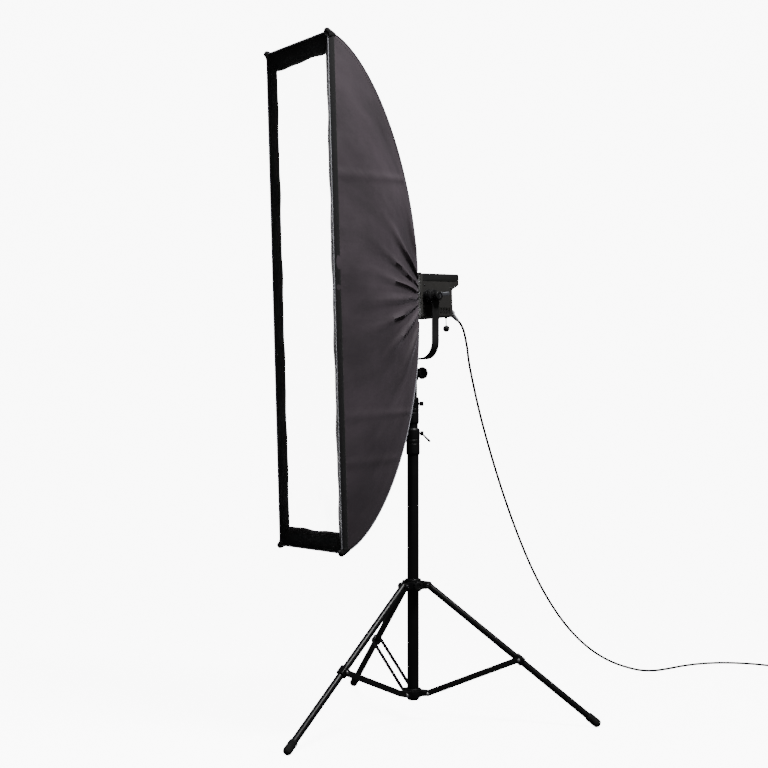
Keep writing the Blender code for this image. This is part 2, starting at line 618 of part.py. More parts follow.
def build_pivots():
    """The hubs on the lamp's sides, with studs through the yoke, and the tilt lever on one of them."""
    near = HEAD_HALF_WIDTH + TOUCH
    face = YOKE_HALF_WIDTH - YOKE_BAR / 2 - TOUCH
    outside = YOKE_HALF_WIDTH + YOKE_BAR / 2
    tip = outside + 0.0045
    edge = 0.003
    for side, name in ((1, "right"), (-1, "left")):
        profile = [(0, tip), (YOKE_STUD, tip), (YOKE_STUD, face), (PIVOT_RADIUS - edge, face),
                   (PIVOT_RADIUS, face - edge), (PIVOT_RADIUS, near + 0.004), (PIVOT_RADIUS + 0.002, near),
                   (0, near)]
        turned(f"pivot_hub_{name}", profile, BLACK_PLASTIC, HEAD, rotation=aimed((side, 0, 0)))
    start = outside + TOUCH
    bore = YOKE_STUD + RUNNING
    boss, boss_length = 0.0135, 0.017
    lever = turned("tilt_lever", [(0, start + boss_length), (boss - edge, start + boss_length),
                                  (boss, start + boss_length - edge), (boss, start + edge / 2),
                                  (boss - edge / 2, start), (bore, start), (bore, tip + TOUCH),
                                  (0, tip + TOUCH)], BLACK_PLASTIC, YOKE, rotation=aimed((1, 0, 0)))
    middle = (start + 0.7 * boss_length, LEVER_LENGTH / 2, 0.004)
    arm = block("tilt_lever_arm", (0.008, LEVER_LENGTH, 0.012), middle, None, YOKE, (math.radians(6), 0, 0),
                bevel=0.0025)
    combine(lever, arm)


# ---------------------------------------------------------------- lamp head
def head_outline(inset=0.0):
    """The lamp's side view, front to rear, with the hood that stands out over the rear panel."""
    front, rear = HEAD_FRONT + inset, HEAD_REAR - inset
    low, high = HEAD_BOTTOM + inset, HEAD_TOP - inset
    hood = HEAD_REAR + HOOD_REACH - inset
    hood_low = HEAD_TOP - HOOD_DEPTH + inset
    step = HOOD_REACH * 0.7
    return [(front, low), (rear, low), (rear, hood_low - step), (hood, hood_low), (hood - 0.002, high),
            (front, high)]


def build_housing():
    """The lamp's casing: a shell open at the front, with a slotted vent low on each side."""
    on_edge = Matrix(((0, 0, 1), (1, 0, 0), (0, 1, 0))).to_euler()
    housing = plate("housing", head_outline(), 2 * HEAD_HALF_WIDTH, GREY_CASING, HEAD, rotation=on_edge)
    round_edges(housing, 0.0025, 2)
    inside = (2 * (HEAD_HALF_WIDTH - HEAD_WALL), HEAD_LENGTH, HEAD_HEIGHT - 2 * HEAD_WALL)
    middle = (0, (HEAD_FRONT + HEAD_REAR) / 2 - HEAD_WALL, HEAD_MIDDLE)
    cavity = block("housing_cavity", inside, middle, None, HEAD)
    pitch, slots = 0.006, 7
    teeth = [((3 * HEAD_HALF_WIDTH, pitch * 0.45, 0.018),
              (0, HEAD_REAR - 0.014 - pitch * i, HEAD_BOTTOM + 0.018), (0, 0, 0)) for i in range(slots)]
    grille = [((0.060, pitch * 0.45, 3 * HEAD_WALL),
               (0, HEAD_REAR - 0.020 - 2 * pitch * i, HEAD_TOP), (0, 0, 0)) for i in range(slots - 1)]
    hole = drum("umbrella_screw_hole", UMBRELLA_SHANK + 3 * RUNNING, -0.01, 0.01, None, HEAD,
                (UMBRELLA_X, UMBRELLA_Y, HEAD_BOTTOM), sides=FEW_SIDES)
    cut(housing, cavity, blocks("housing_vents", teeth + grille, None, HEAD), hole)


def build_front():
    """The bezel that closes the casing's front, the bayonet ring on it and the release lever."""
    back = HEAD_FRONT - TOUCH
    bezel = block("front_bezel", (2 * HEAD_HALF_WIDTH + 0.006, BEZEL_THICKNESS, HEAD_HEIGHT + 0.006),
                  (0, back - BEZEL_THICKNESS / 2, HEAD_MIDDLE), GREY_CASING, HEAD, bevel=0.0018)
    through = drum("bezel_port", PORT_RADIUS, -0.02, 0.02, None, HEAD, (0, back, 0), aimed((0, -1, 0)))
    cut(bezel, through)
    face = -(back - BEZEL_THICKNESS) + TOUCH
    end = face + BAYONET_LENGTH
    turned("bayonet_ring", [(BAYONET_RADIUS - 0.001, end), (BAYONET_RADIUS, end - 0.001),
                            (BAYONET_RADIUS, face), (PORT_RADIUS, face), (PORT_RADIUS, end)],
           ALUMINIUM, HEAD, rotation=aimed((0, -1, 0)), ring=True)
    spot = (-HEAD_HALF_WIDTH + RELEASE_LEVER[0], back - BEZEL_THICKNESS - TOUCH - RELEASE_LEVER[1] / 2,
            HEAD_TOP - 0.9 * RELEASE_LEVER[2])
    block("release_lever", RELEASE_LEVER, spot, BLACK_PLASTIC, HEAD, bevel=0.0012)
    return end


def build_inside():
    """What the casing holds: light source, heat sink, fan and driver."""
    y = HEAD_FRONT + 0.004
    source_depth = 0.003
    block("led_module", (2 * SOURCE_HALF, source_depth, 2 * SOURCE_HALF), (0, y, 0), PHOSPHOR, HEAD)
    y += source_depth / 2 + TOUCH
    sink_depth = SINK_BASE + SINK_FIN
    sink = block("heat_sink", (SINK_SIDE, sink_depth, SINK_SIDE), (0, y + sink_depth / 2, 0), ALUMINIUM, HEAD)
    count = 9
    pitch = SINK_SIDE / (count + 0.1)
    gap_depth = SINK_FIN + 0.01
    gap = (pitch * 0.64, gap_depth, 1.1 * SINK_SIDE)
    gap_y = y + SINK_BASE + gap_depth / 2
    gaps = [(gap, (pitch * (i - (count - 1) / 2), gap_y, 0), (0, 0, 0)) for i in range(count)]
    cut(sink, blocks("sink_gaps", gaps, None, HEAD))

    y += sink_depth + 0.001
    frame = block("fan_frame", (FAN_SIDE, FAN_DEPTH, FAN_SIDE), (0, y + FAN_DEPTH / 2, 0), BLACK_PLASTIC, HEAD)
    cut(frame, drum("fan_bore", FAN_BORE, -0.03, 0.03, None, HEAD, (0, y, 0), aimed((0, 1, 0))))
    middle = y + FAN_DEPTH / 2
    chord = 0.8 * FAN_DEPTH
    hub = drum("fan_rotor", FAN_HUB, -chord / 2, chord / 2, BLACK_PLASTIC, HEAD, (0, middle, 0),
               aimed((0, 1, 0)), sides=FEW_SIDES)
    tip, root = FAN_BORE - 0.003, FAN_HUB - 0.003
    blades = []
    for i in range(FAN_BLADES):
        angle = math.tau * i / FAN_BLADES
        mid = (tip + root) / 2
        blades.append(((tip - root, 0.0016, chord), (mid * math.cos(angle), 0, mid * math.sin(angle)),
                       (math.radians(38), -angle, 0)))
    combine(hub, blocks("fan_blades", blades, None, HEAD, (0, middle, 0)))
    y += FAN_DEPTH + 0.004
    block("driver_board", DRIVER_BOARD, (0, y + DRIVER_BOARD[1] / 2, HEAD_MIDDLE), CIRCUIT, HEAD)


def rear_control(name, radius, start, end, x, z, finish):
    """A round control on the rear panel, between two depths."""
    edge = radius * 0.15
    profile = [(0, end), (radius - edge, end), (radius, end - edge), (radius, start), (0, start)]
    return turned(name, profile, finish, HEAD, (x, 0, z), aimed((0, 1, 0)), FEW_SIDES)


def build_rear():
    """The rear panel with its display, knobs, buttons and switch."""
    low, high = HEAD_BOTTOM + 0.004, HEAD_TOP - HOOD_DEPTH - HOOD_REACH
    panel = block("rear_panel", (2 * HEAD_HALF_WIDTH - 0.012, PANEL_THICKNESS, high - low),
                  (0, PANEL_FACE - PANEL_THICKNESS / 2, (low + high) / 2), BLACK_PLASTIC, HEAD, bevel=0.0008)
    front = PANEL_FACE + TOUCH
    block("display_window", DISPLAY, (DISPLAY_X, front + DISPLAY[1] / 2, -CONTROL_ROW), SCREEN, HEAD)
    for name, x in (("dimmer_knob", DIMMER_X), ("colour_knob", COLOUR_X)):
        rear_control(name, CONTROL_RADIUS, front, front + CONTROL_LENGTH, x, CONTROL_ROW, BLACK_PLASTIC)
    rear_control("menu_button", BUTTON_RADIUS, PANEL_FACE - BUTTON_TRAVEL, PANEL_FACE + 2 * BUTTON_TRAVEL,
                 BUTTON_X, LOWER_ROW, GREY_CONNECTOR)
    well = drum("button_well", BUTTON_RADIUS + RUNNING, -0.01, 0.01, None, HEAD,
                (BUTTON_X, PANEL_FACE, LOWER_ROW), aimed((0, 1, 0)), FEW_SIDES)
    axis = (SWITCH_X, PANEL_FACE + SWITCH[1] / 8, LOWER_ROW)
    rest = (math.radians(-SWITCH_THROW / 2), 0, 0)
    block("power_switch", SWITCH, axis, BLACK_PLASTIC, HEAD, rest, bevel=0.001)
    window = block("switch_window", (SWITCH[0] + 0.001, 0.02, SWITCH[2] + 0.0016), axis, None, HEAD)
    cut(panel, well, window)


def build_umbrella_screw():
    """The thumb screw under the lamp: a thin shank with a ball on its end."""
    centre = HEAD_BOTTOM - UMBRELLA_DROP
    top = HEAD_BOTTOM + 0.012
    start = math.asin(UMBRELLA_SHANK / UMBRELLA_BALL)
    steps = 6
    arc = [start + (math.pi - start) * i / steps for i in range(steps)]
    ball = [(UMBRELLA_BALL * math.sin(a), centre + UMBRELLA_BALL * math.cos(a)) for a in arc]
    profile = [(0, top), (UMBRELLA_SHANK, top), *ball, (0, centre - UMBRELLA_BALL)]
    turned("umbrella_screw", profile, BLACK_PLASTIC, HEAD, (UMBRELLA_X, UMBRELLA_Y, 0), sides=FEW_SIDES)


def build_mains_end():
    """The inlet on the rear panel and the connector in it, both sloping down to where the lead leaves."""
    slope = math.radians(CONNECTOR_SLOPE)
    way = Vector((0, math.cos(slope), -math.sin(slope)))
    root = Vector((INLET_X, PANEL_FACE + INLET_STANDOFF, INLET_Z))
    inlet = drum("mains_inlet", INLET_RADIUS, -0.030, 0, GREY_CONNECTOR, HEAD, root, aimed(way), chamfer=0.001)
    behind = block("inlet_trim", (0.1, 0.1, 0.1), (root.x, PANEL_FACE + TOUCH - 0.05, root.z), None, HEAD)
    cut(inlet, behind)
    end = CONNECTOR_BODY + CONNECTOR_RELIEF
    radius, edge = INLET_RADIUS - 0.001, 0.002
    tip = CORD_DIAMETER / 2 + 0.0012
    profile = [(0, end), (tip, end), (tip + edge, CONNECTOR_BODY + 2 * edge),
               (radius - 1.5 * edge, CONNECTOR_BODY), (radius, CONNECTOR_BODY - 1.5 * edge), (radius, edge),
               (radius - edge / 2, TOUCH), (0, TOUCH)]
    turned("cord_connector", profile, GREY_CONNECTOR, HEAD, root, aimed(way), FEW_SIDES)


# ---------------------------------------------------------------- softbox
def side_curve(angle):
    """(depth behind the front, half height) on the softbox's side view: a superellipse arc."""
    return (BOX_FULL_DEPTH * math.cos(angle) ** 1.25, BOX_HALF_HEIGHT * math.sin(angle) ** 1.2)


CORNERS = ((1, 1), (-1, 1), (-1, -1), (1, -1))  # signs of X and Z
REAR_ANGLE = math.asin((BOX_REAR_HALF_HEIGHT / BOX_HALF_HEIGHT) ** (1 / 1.2))
BOX_FULL_DEPTH = BOX_DEPTH / math.cos(REAR_ANGLE) ** 1.25  # where the side curve would close on the axis
REAR_HALF_HEIGHT = side_curve(REAR_ANGLE)[1]


def half_width(half_height):
    """The softbox narrows evenly with its height, from the front to the ring."""
    share = (half_height - REAR_HALF_HEIGHT) / (BOX_HALF_HEIGHT - REAR_HALF_HEIGHT)
    return BOX_REAR_HALF + (BOX_HALF_WIDTH - BOX_REAR_HALF) * share


def curve_at(share):
    """(depth, half height, half width) at 0 for the front to 1 for the rear."""
    angle = math.pi / 2 + (REAR_ANGLE - math.pi / 2) * share
    depth, height = side_curve(angle)
    return depth, height, half_width(height)


def rod_at(share):
    """A point of the rod that runs inside the upper right corner, clear of both panels."""
    step = 0.001
    depth, height, width = curve_at(share)
    before, after = curve_at(max(share - step, 0)), curve_at(min(share + step, 1))
    run, fall = after[0] - before[0], after[1] - before[1]
    size = math.hypot(run, fall)
    inward = (fall / size * ROD_INSET, -run / size * ROD_INSET)
    return Vector((width - ROD_INSET * 1.3, BOX_FRONT + depth + inward[0], height + inward[1]))


def rod_points():
    """The rod's line from its front end to its socket."""
    count = 14
    front_angle = math.acos((ROD_START / BOX_FULL_DEPTH) ** (1 / 1.25))
    first = (math.pi / 2 - front_angle) / (math.pi / 2 - REAR_ANGLE)
    return [rod_at(first + (1 - first) * i / (count - 1)) for i in range(count)]


def build_panels():
    """The four sewn panels. The end panels sit between the side panels."""
    along = 12
    for side, name in ((1, "right"), (-1, "left")):
        def side_shape(u, v, side=side):
            depth, height, width = curve_at(v)
            return Vector((side * width, BOX_FRONT + depth, (2 * u - 1) * side * height))

        sheet(f"side_panel_{name}", side_shape, 2, along, FABRIC, FABRIC_BLACK, HEAD)
    for side, name in ((1, "top_panel"), (-1, "bottom_panel")):
        def end_shape(u, v, side=side):
            depth, height, width = curve_at(v)
            return Vector(((1 - 2 * u) * side * (width - 2.2 * FABRIC), BOX_FRONT + depth, side * height))

        sheet(name, end_shape, 2, along, FABRIC, FABRIC_BLACK, HEAD)


def build_rods():
    """The four sprung rods, from the ring's sockets to the corners."""
    for number, (x, z) in enumerate(CORNERS, 1):
        points = [Vector((p.x * x, p.y, p.z * z)) for p in rod_points()]
        wire(f"rod_{number}", points, ROD_RADIUS, SPRING_STEEL, HEAD, 1)


def build_ring(bayonet_end):
    """The ring on the lamp's bayonet, with an arm and a socket for each rod."""
    start = bayonet_end + TOUCH
    end = start + RING_LENGTH
    ring = turned("speed_ring", [(RING_RADIUS - 0.002, end), (RING_RADIUS, end - 0.002), (RING_RADIUS, start),
                                 (PORT_RADIUS, start), (PORT_RADIUS, end)], ALUMINIUM, HEAD,
                  rotation=aimed((0, -1, 0)), ring=True)
    near, rear = rod_points()[-2:]
    corner = math.hypot(rear.x, rear.z)
    inner = (PORT_RADIUS + RING_RADIUS) / 2
    for number, (x, z) in enumerate(CORNERS, 1):
        root = Vector((rear.x * x, rear.y, rear.z * z))
        toward = Vector(((near.x - rear.x) * x, near.y - rear.y, (near.z - rear.z) * z)).normalized()
        angle = math.atan2(root.z, root.x)
        middle = (inner + corner) / 2
        arm = block(f"ring_arm_{number}", (corner - inner, 0.008, 0.014),
                    (middle * math.cos(angle), -start - 0.006, middle * math.sin(angle)), None, HEAD,
                    (0, -angle, 0))
        socket = drum(f"ring_socket_{number}", SOCKET_RADIUS, -0.012, SOCKET_LENGTH - 0.012, None, HEAD, root,
                      aimed(toward), 12)
        bore = drum(f"ring_bore_{number}", ROD_RADIUS + RUNNING, -TOUCH, SOCKET_LENGTH, None, HEAD, root,
                    aimed(toward), 8)
        combine(ring, arm, socket)
        cut(ring, bore)


def build_front_cloth():
    """The black lip that slopes in from the front rim, the diffuser behind it and the inner baffle."""
    bm = bmesh.new()
    bmesh.ops.create_cone(bm, cap_ends=False, segments=4, radius1=1.0, radius2=2.0, depth=2.0)
    inner_half = (BOX_HALF_WIDTH - LIP_SIDE, BOX_HALF_HEIGHT - LIP_END)
    gap = 0.0012
    for vertex in bm.verts:
        outer = vertex.co.z > 0
        half_x = BOX_HALF_WIDTH if outer else inner_half[0]
        half_z = BOX_HALF_HEIGHT if outer else inner_half[1]
        right = vertex.co.x + vertex.co.y > 0
        above = vertex.co.y - vertex.co.x > 0
        depth = -gap if outer else LIP_DEPTH
        vertex.co = (half_x if right else -half_x, BOX_FRONT + depth, half_z if above else -half_z)
    lip = place(bpy.data.objects.new("front_lip", mesh_from("front_lip", bm)), FABRIC_BLACK, HEAD)
    thicken(lip, 0.6 * FABRIC, 0.0)

    spot = BOX_FRONT + LIP_DEPTH + 0.0022
    block("front_diffuser", (2 * (inner_half[0] + 0.004), 0.0016, 2 * (inner_half[1] + 0.008)), (0, spot, 0),
          FABRIC_WHITE, HEAD)
    depth, height, width = curve_at(BAFFLE_SHARE)
    margin = 0.030
    block("inner_baffle", (2 * (width - margin), 0.001, 2 * (height - margin)), (0, BOX_FRONT + depth, 0),
          FABRIC_WHITE, HEAD)


# ---------------------------------------------------------------- mains lead
def smooth(route, step):
    """Points a step apart along the smooth curve (Catmull-Rom) through the route's points."""
    route = [Vector(p) for p in route]
    padded = [2 * route[0] - route[1], *route, 2 * route[-1] - route[-2]]
    fine = []
    for a, b, c, d in zip(padded, padded[1:], padded[2:], padded[3:]):
        for i in range(16):
            t = i / 16
            fine.append(0.5 * (2 * b + (c - a) * t + (2 * a - 5 * b + 4 * c - d) * t**2
                               + (3 * b - a - 3 * c + d) * t**3))
    fine.append(route[-1])
    points, travelled = [fine[0]], 0.0
    for before, after in zip(fine, fine[1:]):
        travelled += (after - before).length
        if travelled >= step:
            points.append(after)
            travelled = 0.0
    if (points[-1] - fine[-1]).length < step / 2:
        points.pop()
    return points + [fine[-1]]


def build_lead():
    """The mains lead: the hanging and lying stretch, the coil put away on the floor, and the plug."""
    wire("power_cord", smooth(CORD_ROUTE, CORD_STEP), CORD_DIAMETER / 2, RUBBER, None, 2)
    thick = COIL_TURNS_ACROSS * CORD_DIAMETER
    inner, outer = COIL_TURN_RADIUS - thick / 2, COIL_TURN_RADIUS + thick / 2
    edge = CORD_DIAMETER / 2
    turned("cord_coil", [(inner + edge, thick), (outer - edge, thick), (outer, thick - edge), (outer, edge),
                         (outer - edge, 0), (inner + edge, 0), (inner, edge), (inner, thick - edge)],
           RUBBER, None, (*COIL_CENTRE, 0.0), ring=True)
    way = level(-50.0)
    radius = 0.017
    spot = Vector((*COIL_CENTRE, radius)) + level(10.0) * (outer + radius + 0.002) - way * 0.02
    length, pins = 0.040, 0.019
    profile = [(0, length), (radius - 0.002, length), (radius, length - 0.003), (radius, 0.014),
               (0.009, 0.004), (0.0055, -0.014), (0, -0.014)]
    plug = turned("mains_plug", profile, BLACK_PLASTIC, None, spot, aimed(way), FEW_SIDES)
    across = way.cross(Vector((0, 0, 1))) * 0.0095
    for side in (1, -1):
        pin = drum(f"plug_pin_{side + 2}", 0.0024, length - 0.004, length + pins, None, None,
                   spot + side * across, aimed(way), 8)
        combine(plug, pin)


# ---------------------------------------------------------------- assembly
build_hub()
build_collar()
for leg_number, leg_azimuth in enumerate(LEG_AZIMUTHS, 1):
    build_leg(leg_number, leg_azimuth)
    build_brace(leg_number, leg_azimuth)
build_column()
build_yoke()
build_pivots()
build_housing()
ring_start = build_front()
build_inside()
build_rear()
build_umbrella_screw()
build_mains_end()
build_panels()
build_rods()
build_ring(ring_start)
build_front_cloth()
build_lead()
bpy.context.view_layer.update()
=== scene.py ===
"""Looks of the studio strip softbox: its cloth, lamp, yoke, stand and mains lead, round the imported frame."""

import json
import logging
import math
from dataclasses import dataclass, field, replace
from enum import Enum
from typing import Any, Iterable, Sequence, Union

import bmesh
import bpy
import numpy as np
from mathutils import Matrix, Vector


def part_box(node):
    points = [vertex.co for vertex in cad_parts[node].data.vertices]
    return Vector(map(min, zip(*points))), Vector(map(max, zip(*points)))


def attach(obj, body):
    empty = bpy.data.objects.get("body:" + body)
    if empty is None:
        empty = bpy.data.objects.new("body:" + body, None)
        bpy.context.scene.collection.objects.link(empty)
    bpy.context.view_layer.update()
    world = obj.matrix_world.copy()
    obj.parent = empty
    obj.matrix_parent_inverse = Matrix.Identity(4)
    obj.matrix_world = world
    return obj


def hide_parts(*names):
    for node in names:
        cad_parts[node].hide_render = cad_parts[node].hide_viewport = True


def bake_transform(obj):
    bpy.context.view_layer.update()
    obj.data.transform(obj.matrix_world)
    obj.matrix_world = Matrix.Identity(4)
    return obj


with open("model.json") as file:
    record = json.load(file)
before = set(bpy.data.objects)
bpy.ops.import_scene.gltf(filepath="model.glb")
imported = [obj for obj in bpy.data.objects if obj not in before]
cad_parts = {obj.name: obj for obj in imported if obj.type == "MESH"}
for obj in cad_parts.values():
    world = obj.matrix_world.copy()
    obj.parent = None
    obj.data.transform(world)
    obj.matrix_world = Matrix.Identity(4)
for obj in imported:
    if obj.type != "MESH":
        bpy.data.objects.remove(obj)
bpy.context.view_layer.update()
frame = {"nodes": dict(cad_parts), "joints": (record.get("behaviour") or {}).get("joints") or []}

LOG = logging.getLogger("studio_softbox")
Vec = Sequence[float]
Value = Union[float, "Sock"]


# ------------------------------------------------------------------ shader sums
class Sock:
    """A shader number. Python arithmetic on it adds Math nodes to its graph."""

    def __init__(self, graph: "Graph", socket: Any) -> None:
        """Keeps the graph and one output socket."""
        self.graph = graph
        self.socket = socket

    def _math(self, operation: str, first: Any, second: Any = 0.0) -> "Sock":
        """Adds one Math node."""
        return self.graph.node("ShaderNodeMath", {"operation": operation}, {0: first, 1: second})

    def __add__(self, other: Value) -> "Sock":
        """Sum."""
        return self._math("ADD", self, other)

    __radd__ = __add__

    def __mul__(self, other: Value) -> "Sock":
        """Product."""
        return self._math("MULTIPLY", self, other)

    __rmul__ = __mul__

    def __sub__(self, other: Value) -> "Sock":
        """Difference."""
        return self._math("SUBTRACT", self, other)

    def __rsub__(self, other: Value) -> "Sock":
        """Difference from a plain number."""
        return self._math("SUBTRACT", other, self)

    def __truediv__(self, other: Value) -> "Sock":
        """Quotient."""
        return self._math("DIVIDE", self, other)

    def __pow__(self, other: Value) -> "Sock":
        """Power."""
        return self._math("POWER", self, other)

    def sine(self) -> "Sock":
        """Sine of the value in radians."""
        return self._math("SINE", self)

    def distance(self, other: Value) -> "Sock":
        """Absolute difference."""
        return self._math("ABSOLUTE", self - other)

    def larger(self, other: Value) -> "Sock":
        """The larger of two values."""
        return self._math("MAXIMUM", self, other)

    def step(self, low: float, high: float) -> "Sock":
        """0 below low, 1 above high, and smooth between."""
        return self.graph.node("ShaderNodeMapRange", {"interpolation_type": "SMOOTHSTEP"},
                               {"Value": self, "From Min": low, "From Max": high})


class Graph:
    """One material's node tree, with its Principled shader."""

    def __init__(self, name: str) -> None:
        """Makes the material."""
        self.material = bpy.data.materials.new(name)
        self.material.use_nodes = True
        self.tree = self.material.node_tree
        self.shader = self.tree.nodes["Principled BSDF"]

    def put(self, target: Any, value: Any) -> None:
        """Sets a socket to a value or links it to one."""
        if isinstance(value, Sock):
            self.tree.links.new(value.socket, target)
        elif isinstance(value, (tuple, list)) and len(value) == 3 and target.type == "RGBA":
            target.default_value = (*value, 1.0)
        else:
            target.default_value = value

    def node(self, kind: str, settings: dict[str, Any] | None = None, inputs: dict[Any, Any] | None = None,
             output: Any = 0) -> Sock:
        """Adds a node.

        Args:
            kind: the node's type.
            settings: its properties, and "stops" for a ramp's (place, colour) pairs; these come first.
            inputs: values or links of its sockets, by name or number.
            output: which output to return, by name or number.

        Returns:
            The chosen output.
        """
        made = self.tree.nodes.new(kind)
        for key, value in (settings or {}).items():
            if key == "stops":
                for number, (place, colour) in enumerate(value):
                    stops = made.color_ramp.elements
                    stop = stops[number] if number < len(stops) else stops.new(place)
                    stop.position = place
                    stop.color = (*colour, 1.0)
            else:
                setattr(made, key, value)
        for key, value in (inputs or {}).items():
            self.put(made.inputs[key], value)
        return Sock(self, made.outputs[output])

    def place(self) -> Sock:
        """Object coordinates, in metres."""
        return self.node("ShaderNodeTexCoord", output="Object")

    def uv(self) -> Sock:
        """The piece's own UV map, in metres."""
        return self.node("ShaderNodeTexCoord", output="UV")

    def stretched(self, where: Sock, scale: Vec, turn: Vec = (0, 0, 0)) -> Sock:
        """Coordinates scaled, and turned, by a Mapping node."""
        return self.node("ShaderNodeMapping", None, {"Vector": where, "Scale": scale, "Rotation": turn})

    def axes(self, where: Sock) -> list[Sock]:
        """The three parts of a vector."""
        split = self.node("ShaderNodeSeparateXYZ", None, {0: where})
        return [Sock(self, output) for output in split.socket.node.outputs]

    def noise(self, where: Sock, scale: float, detail: float = 2.0, rough: float = 0.5) -> Sock:
        """Noise from 0 to 1."""
        return self.node("ShaderNodeTexNoise", None,
                         {"Vector": where, "Scale": scale, "Detail": detail, "Roughness": rough})

    def cells(self, where: Sock, scale: float) -> Sock:
        """Distance to the nearest of scattered points."""
        return self.node("ShaderNodeTexVoronoi", None, {"Vector": where, "Scale": scale})

    def mix(self, factor: Value, first: Any, second: Any) -> Sock:
        """A colour between two others."""
        return self.node("ShaderNodeMix", {"data_type": "RGBA"}, {0: factor, 6: first, 7: second}, 2)

    def bump(self, height: Sock, strength: float, distance: float) -> None:
        """Raises the surface by a height."""
        normal = self.node("ShaderNodeBump", None, {"Height": height, "Strength": strength,
                                                    "Distance": distance})
        self.put(self.shader.inputs["Normal"], normal)

    def set(self, **sockets: Any) -> None:
        """Sets the shader's sockets, named in lower case with underscores."""
        for key, value in sockets.items():
            self.put(self.shader.inputs[key.replace("_", " ").title().replace("Ior", "IOR")], value)


# ------------------------------------------------------------------ finishes
@dataclass(frozen=True)
class Finish:
    """One finish: its material's name, the record's slot it belongs to and its plain values."""

    name: str
    slot: str
    colour: tuple[float, float, float]
    roughness: float
    metallic: float = 0.0

    def dress(self, g: Graph) -> None:
        """Adds what varies over the surface."""

    def material(self) -> bpy.types.Material:
        """The material, made once."""
        known = bpy.data.materials.get(self.name)
        if known:
            return known
        g = Graph(self.name)
        g.set(base_color=self.colour, roughness=self.roughness, metallic=self.metallic)
        self.dress(g)
        return g.material

    def lighter(self, gain: float) -> tuple[float, float, float]:
        """The colour times a gain."""
        return tuple(min(1.0, part * gain) for part in self.colour)


@dataclass(frozen=True)
class PowderCoat(Finish):
    """Satin powder coat with a faint orange peel, dust and long rub marks."""

    grain: float = 700.0

    def dress(self, g: Graph) -> None:
        """Peel in the bump, rub marks in colour and roughness."""
        place = g.place()
        rubs = g.noise(g.stretched(place, (90, 90, 4)), 1.0, 4.0, 0.6).step(0.62, 0.74)
        dust = g.noise(place, 14.0, 5.0, 0.62).step(0.45, 0.8)
        g.set(base_color=g.mix(rubs * 0.35 + dust * 0.2, self.colour, self.lighter(2.6)),
              roughness=rubs * 0.1 + dust * 0.14 + self.roughness, specular_ior_level=0.25)
        g.bump(g.noise(place, self.grain, 2.0), 0.25, 0.0003)


@dataclass(frozen=True)
class Moulding(Finish):
    """Injection moulding with a spark-eroded grain."""

    grain: float = 1600.0
    depth: float = 0.00012

    def dress(self, g: Graph) -> None:
        """Grain in the bump, handling marks in the roughness."""
        place = g.place()
        grain = g.cells(place, self.grain)
        hands = g.noise(place, 30.0, 3.0, 0.6).step(0.4, 0.75)
        g.set(base_color=g.mix(hands * 0.4, self.colour, self.lighter(1.6)),
              roughness=self.roughness - hands * 0.12 + grain * 0.06, specular_ior_level=0.2)
        g.bump(grain, 0.5, self.depth)


@dataclass(frozen=True)
class CrinklePaint(Finish):
    """Fine crinkle paint of the lamp's casing."""

    def dress(self, g: Graph) -> None:
        """Two sizes of crinkle, and patches that dust has greyed."""
        place = g.place()
        crinkle = g.noise(place, 1100.0, 3.0, 0.7) + g.cells(place, 800.0) * 0.6
        dust = g.noise(place, 22.0, 4.0, 0.65).step(0.42, 0.8)
        g.set(base_color=g.mix(dust * 0.35, self.colour, self.lighter(2.0)),
              roughness=crinkle * 0.08 + self.roughness, specular_ior_level=0.25)
        g.bump(crinkle, 0.55, 0.00025)


@dataclass(frozen=True)
class FootRubber(Finish):
    """Matt rubber, scuffed grey where it has stood."""

    def dress(self, g: Graph) -> None:
        """Scuffs near the floor."""
        place = g.place()
        height = g.axes(place)[2]
        scuff = (1 - height.step(0.0, 0.03)) * g.noise(place, 160.0, 4.0, 0.7).step(0.4, 0.7)
        g.set(base_color=g.mix(scuff * 0.35, self.colour, (0.08, 0.077, 0.075)), specular_ior_level=0.2)
        g.bump(g.noise(place, 900.0, 3.0), 0.4, 0.0003)


@dataclass(frozen=True)
class Nylon(Finish):
    """Coated nylon: a plain weave, a soft sheen, creases from packing and large soft painted shade."""

    pitch: float = 0.0011
    sheen: float = 0.14
    creased: bool = True

    def dress(self, g: Graph) -> None:
        """Weave and creases in the bump; painted shade in the colour, lighter where the broad noise rises and
        darker where it sinks.
        """
        uv = g.uv()
        across, along, _ = g.axes(uv)
        turns = math.tau / self.pitch
        warp, weft = (across * turns).sine(), (along * turns).sine()
        weave = (warp * weft) * 0.5 + 0.5
        broad = g.noise(g.stretched(uv, (7.0, 2.2, 1.0)), 1.0, 5.0, 0.6)
        lines = g.noise(g.stretched(uv, (3.0, 26.0, 1.0)), 1.0, 4.0, 0.62)
        # painted shade: the broad noise lightens and darkens the cloth in soft patches; on creased cloth it
        # also raises the folds in the bump, so their hollows are painted darker
        painted_shade = broad.step(0.3, 0.72)
        g.set(base_color=g.mix(painted_shade, self.lighter(0.6), self.lighter(1.35)),
              roughness=weave * 0.08 + painted_shade * 0.06 + self.roughness,
              sheen_weight=self.sheen, sheen_roughness=0.45, sheen_tint=(0.75, 0.68, 0.78),
              specular_ior_level=0.22)
        height = weave * 0.12
        if self.creased:
            height = height + lines * 1.6 + broad * 1.1
        g.bump(height, 0.55, 0.0011)


@dataclass(frozen=True)
class Webbing(Finish):
    """Ribbed tape and velcro: ribs across, fuzz all over."""

    pitch: float = 0.0016

    def dress(self, g: Graph) -> None:
        """Ribs and fuzz."""
        _, along, _ = g.axes(g.uv())
        ribs = (along * (math.tau / self.pitch)).sine() * 0.5 + 0.5
        fuzz = g.noise(g.place(), 1800.0, 2.0, 0.7)
        g.set(base_color=g.mix(ribs * 0.5 + fuzz * 0.3, self.lighter(0.7), self.lighter(1.7)),
              sheen_weight=0.06, sheen_roughness=0.5, specular_ior_level=0.2)
        g.bump(ribs + fuzz * 0.7, 0.5, 0.0004)


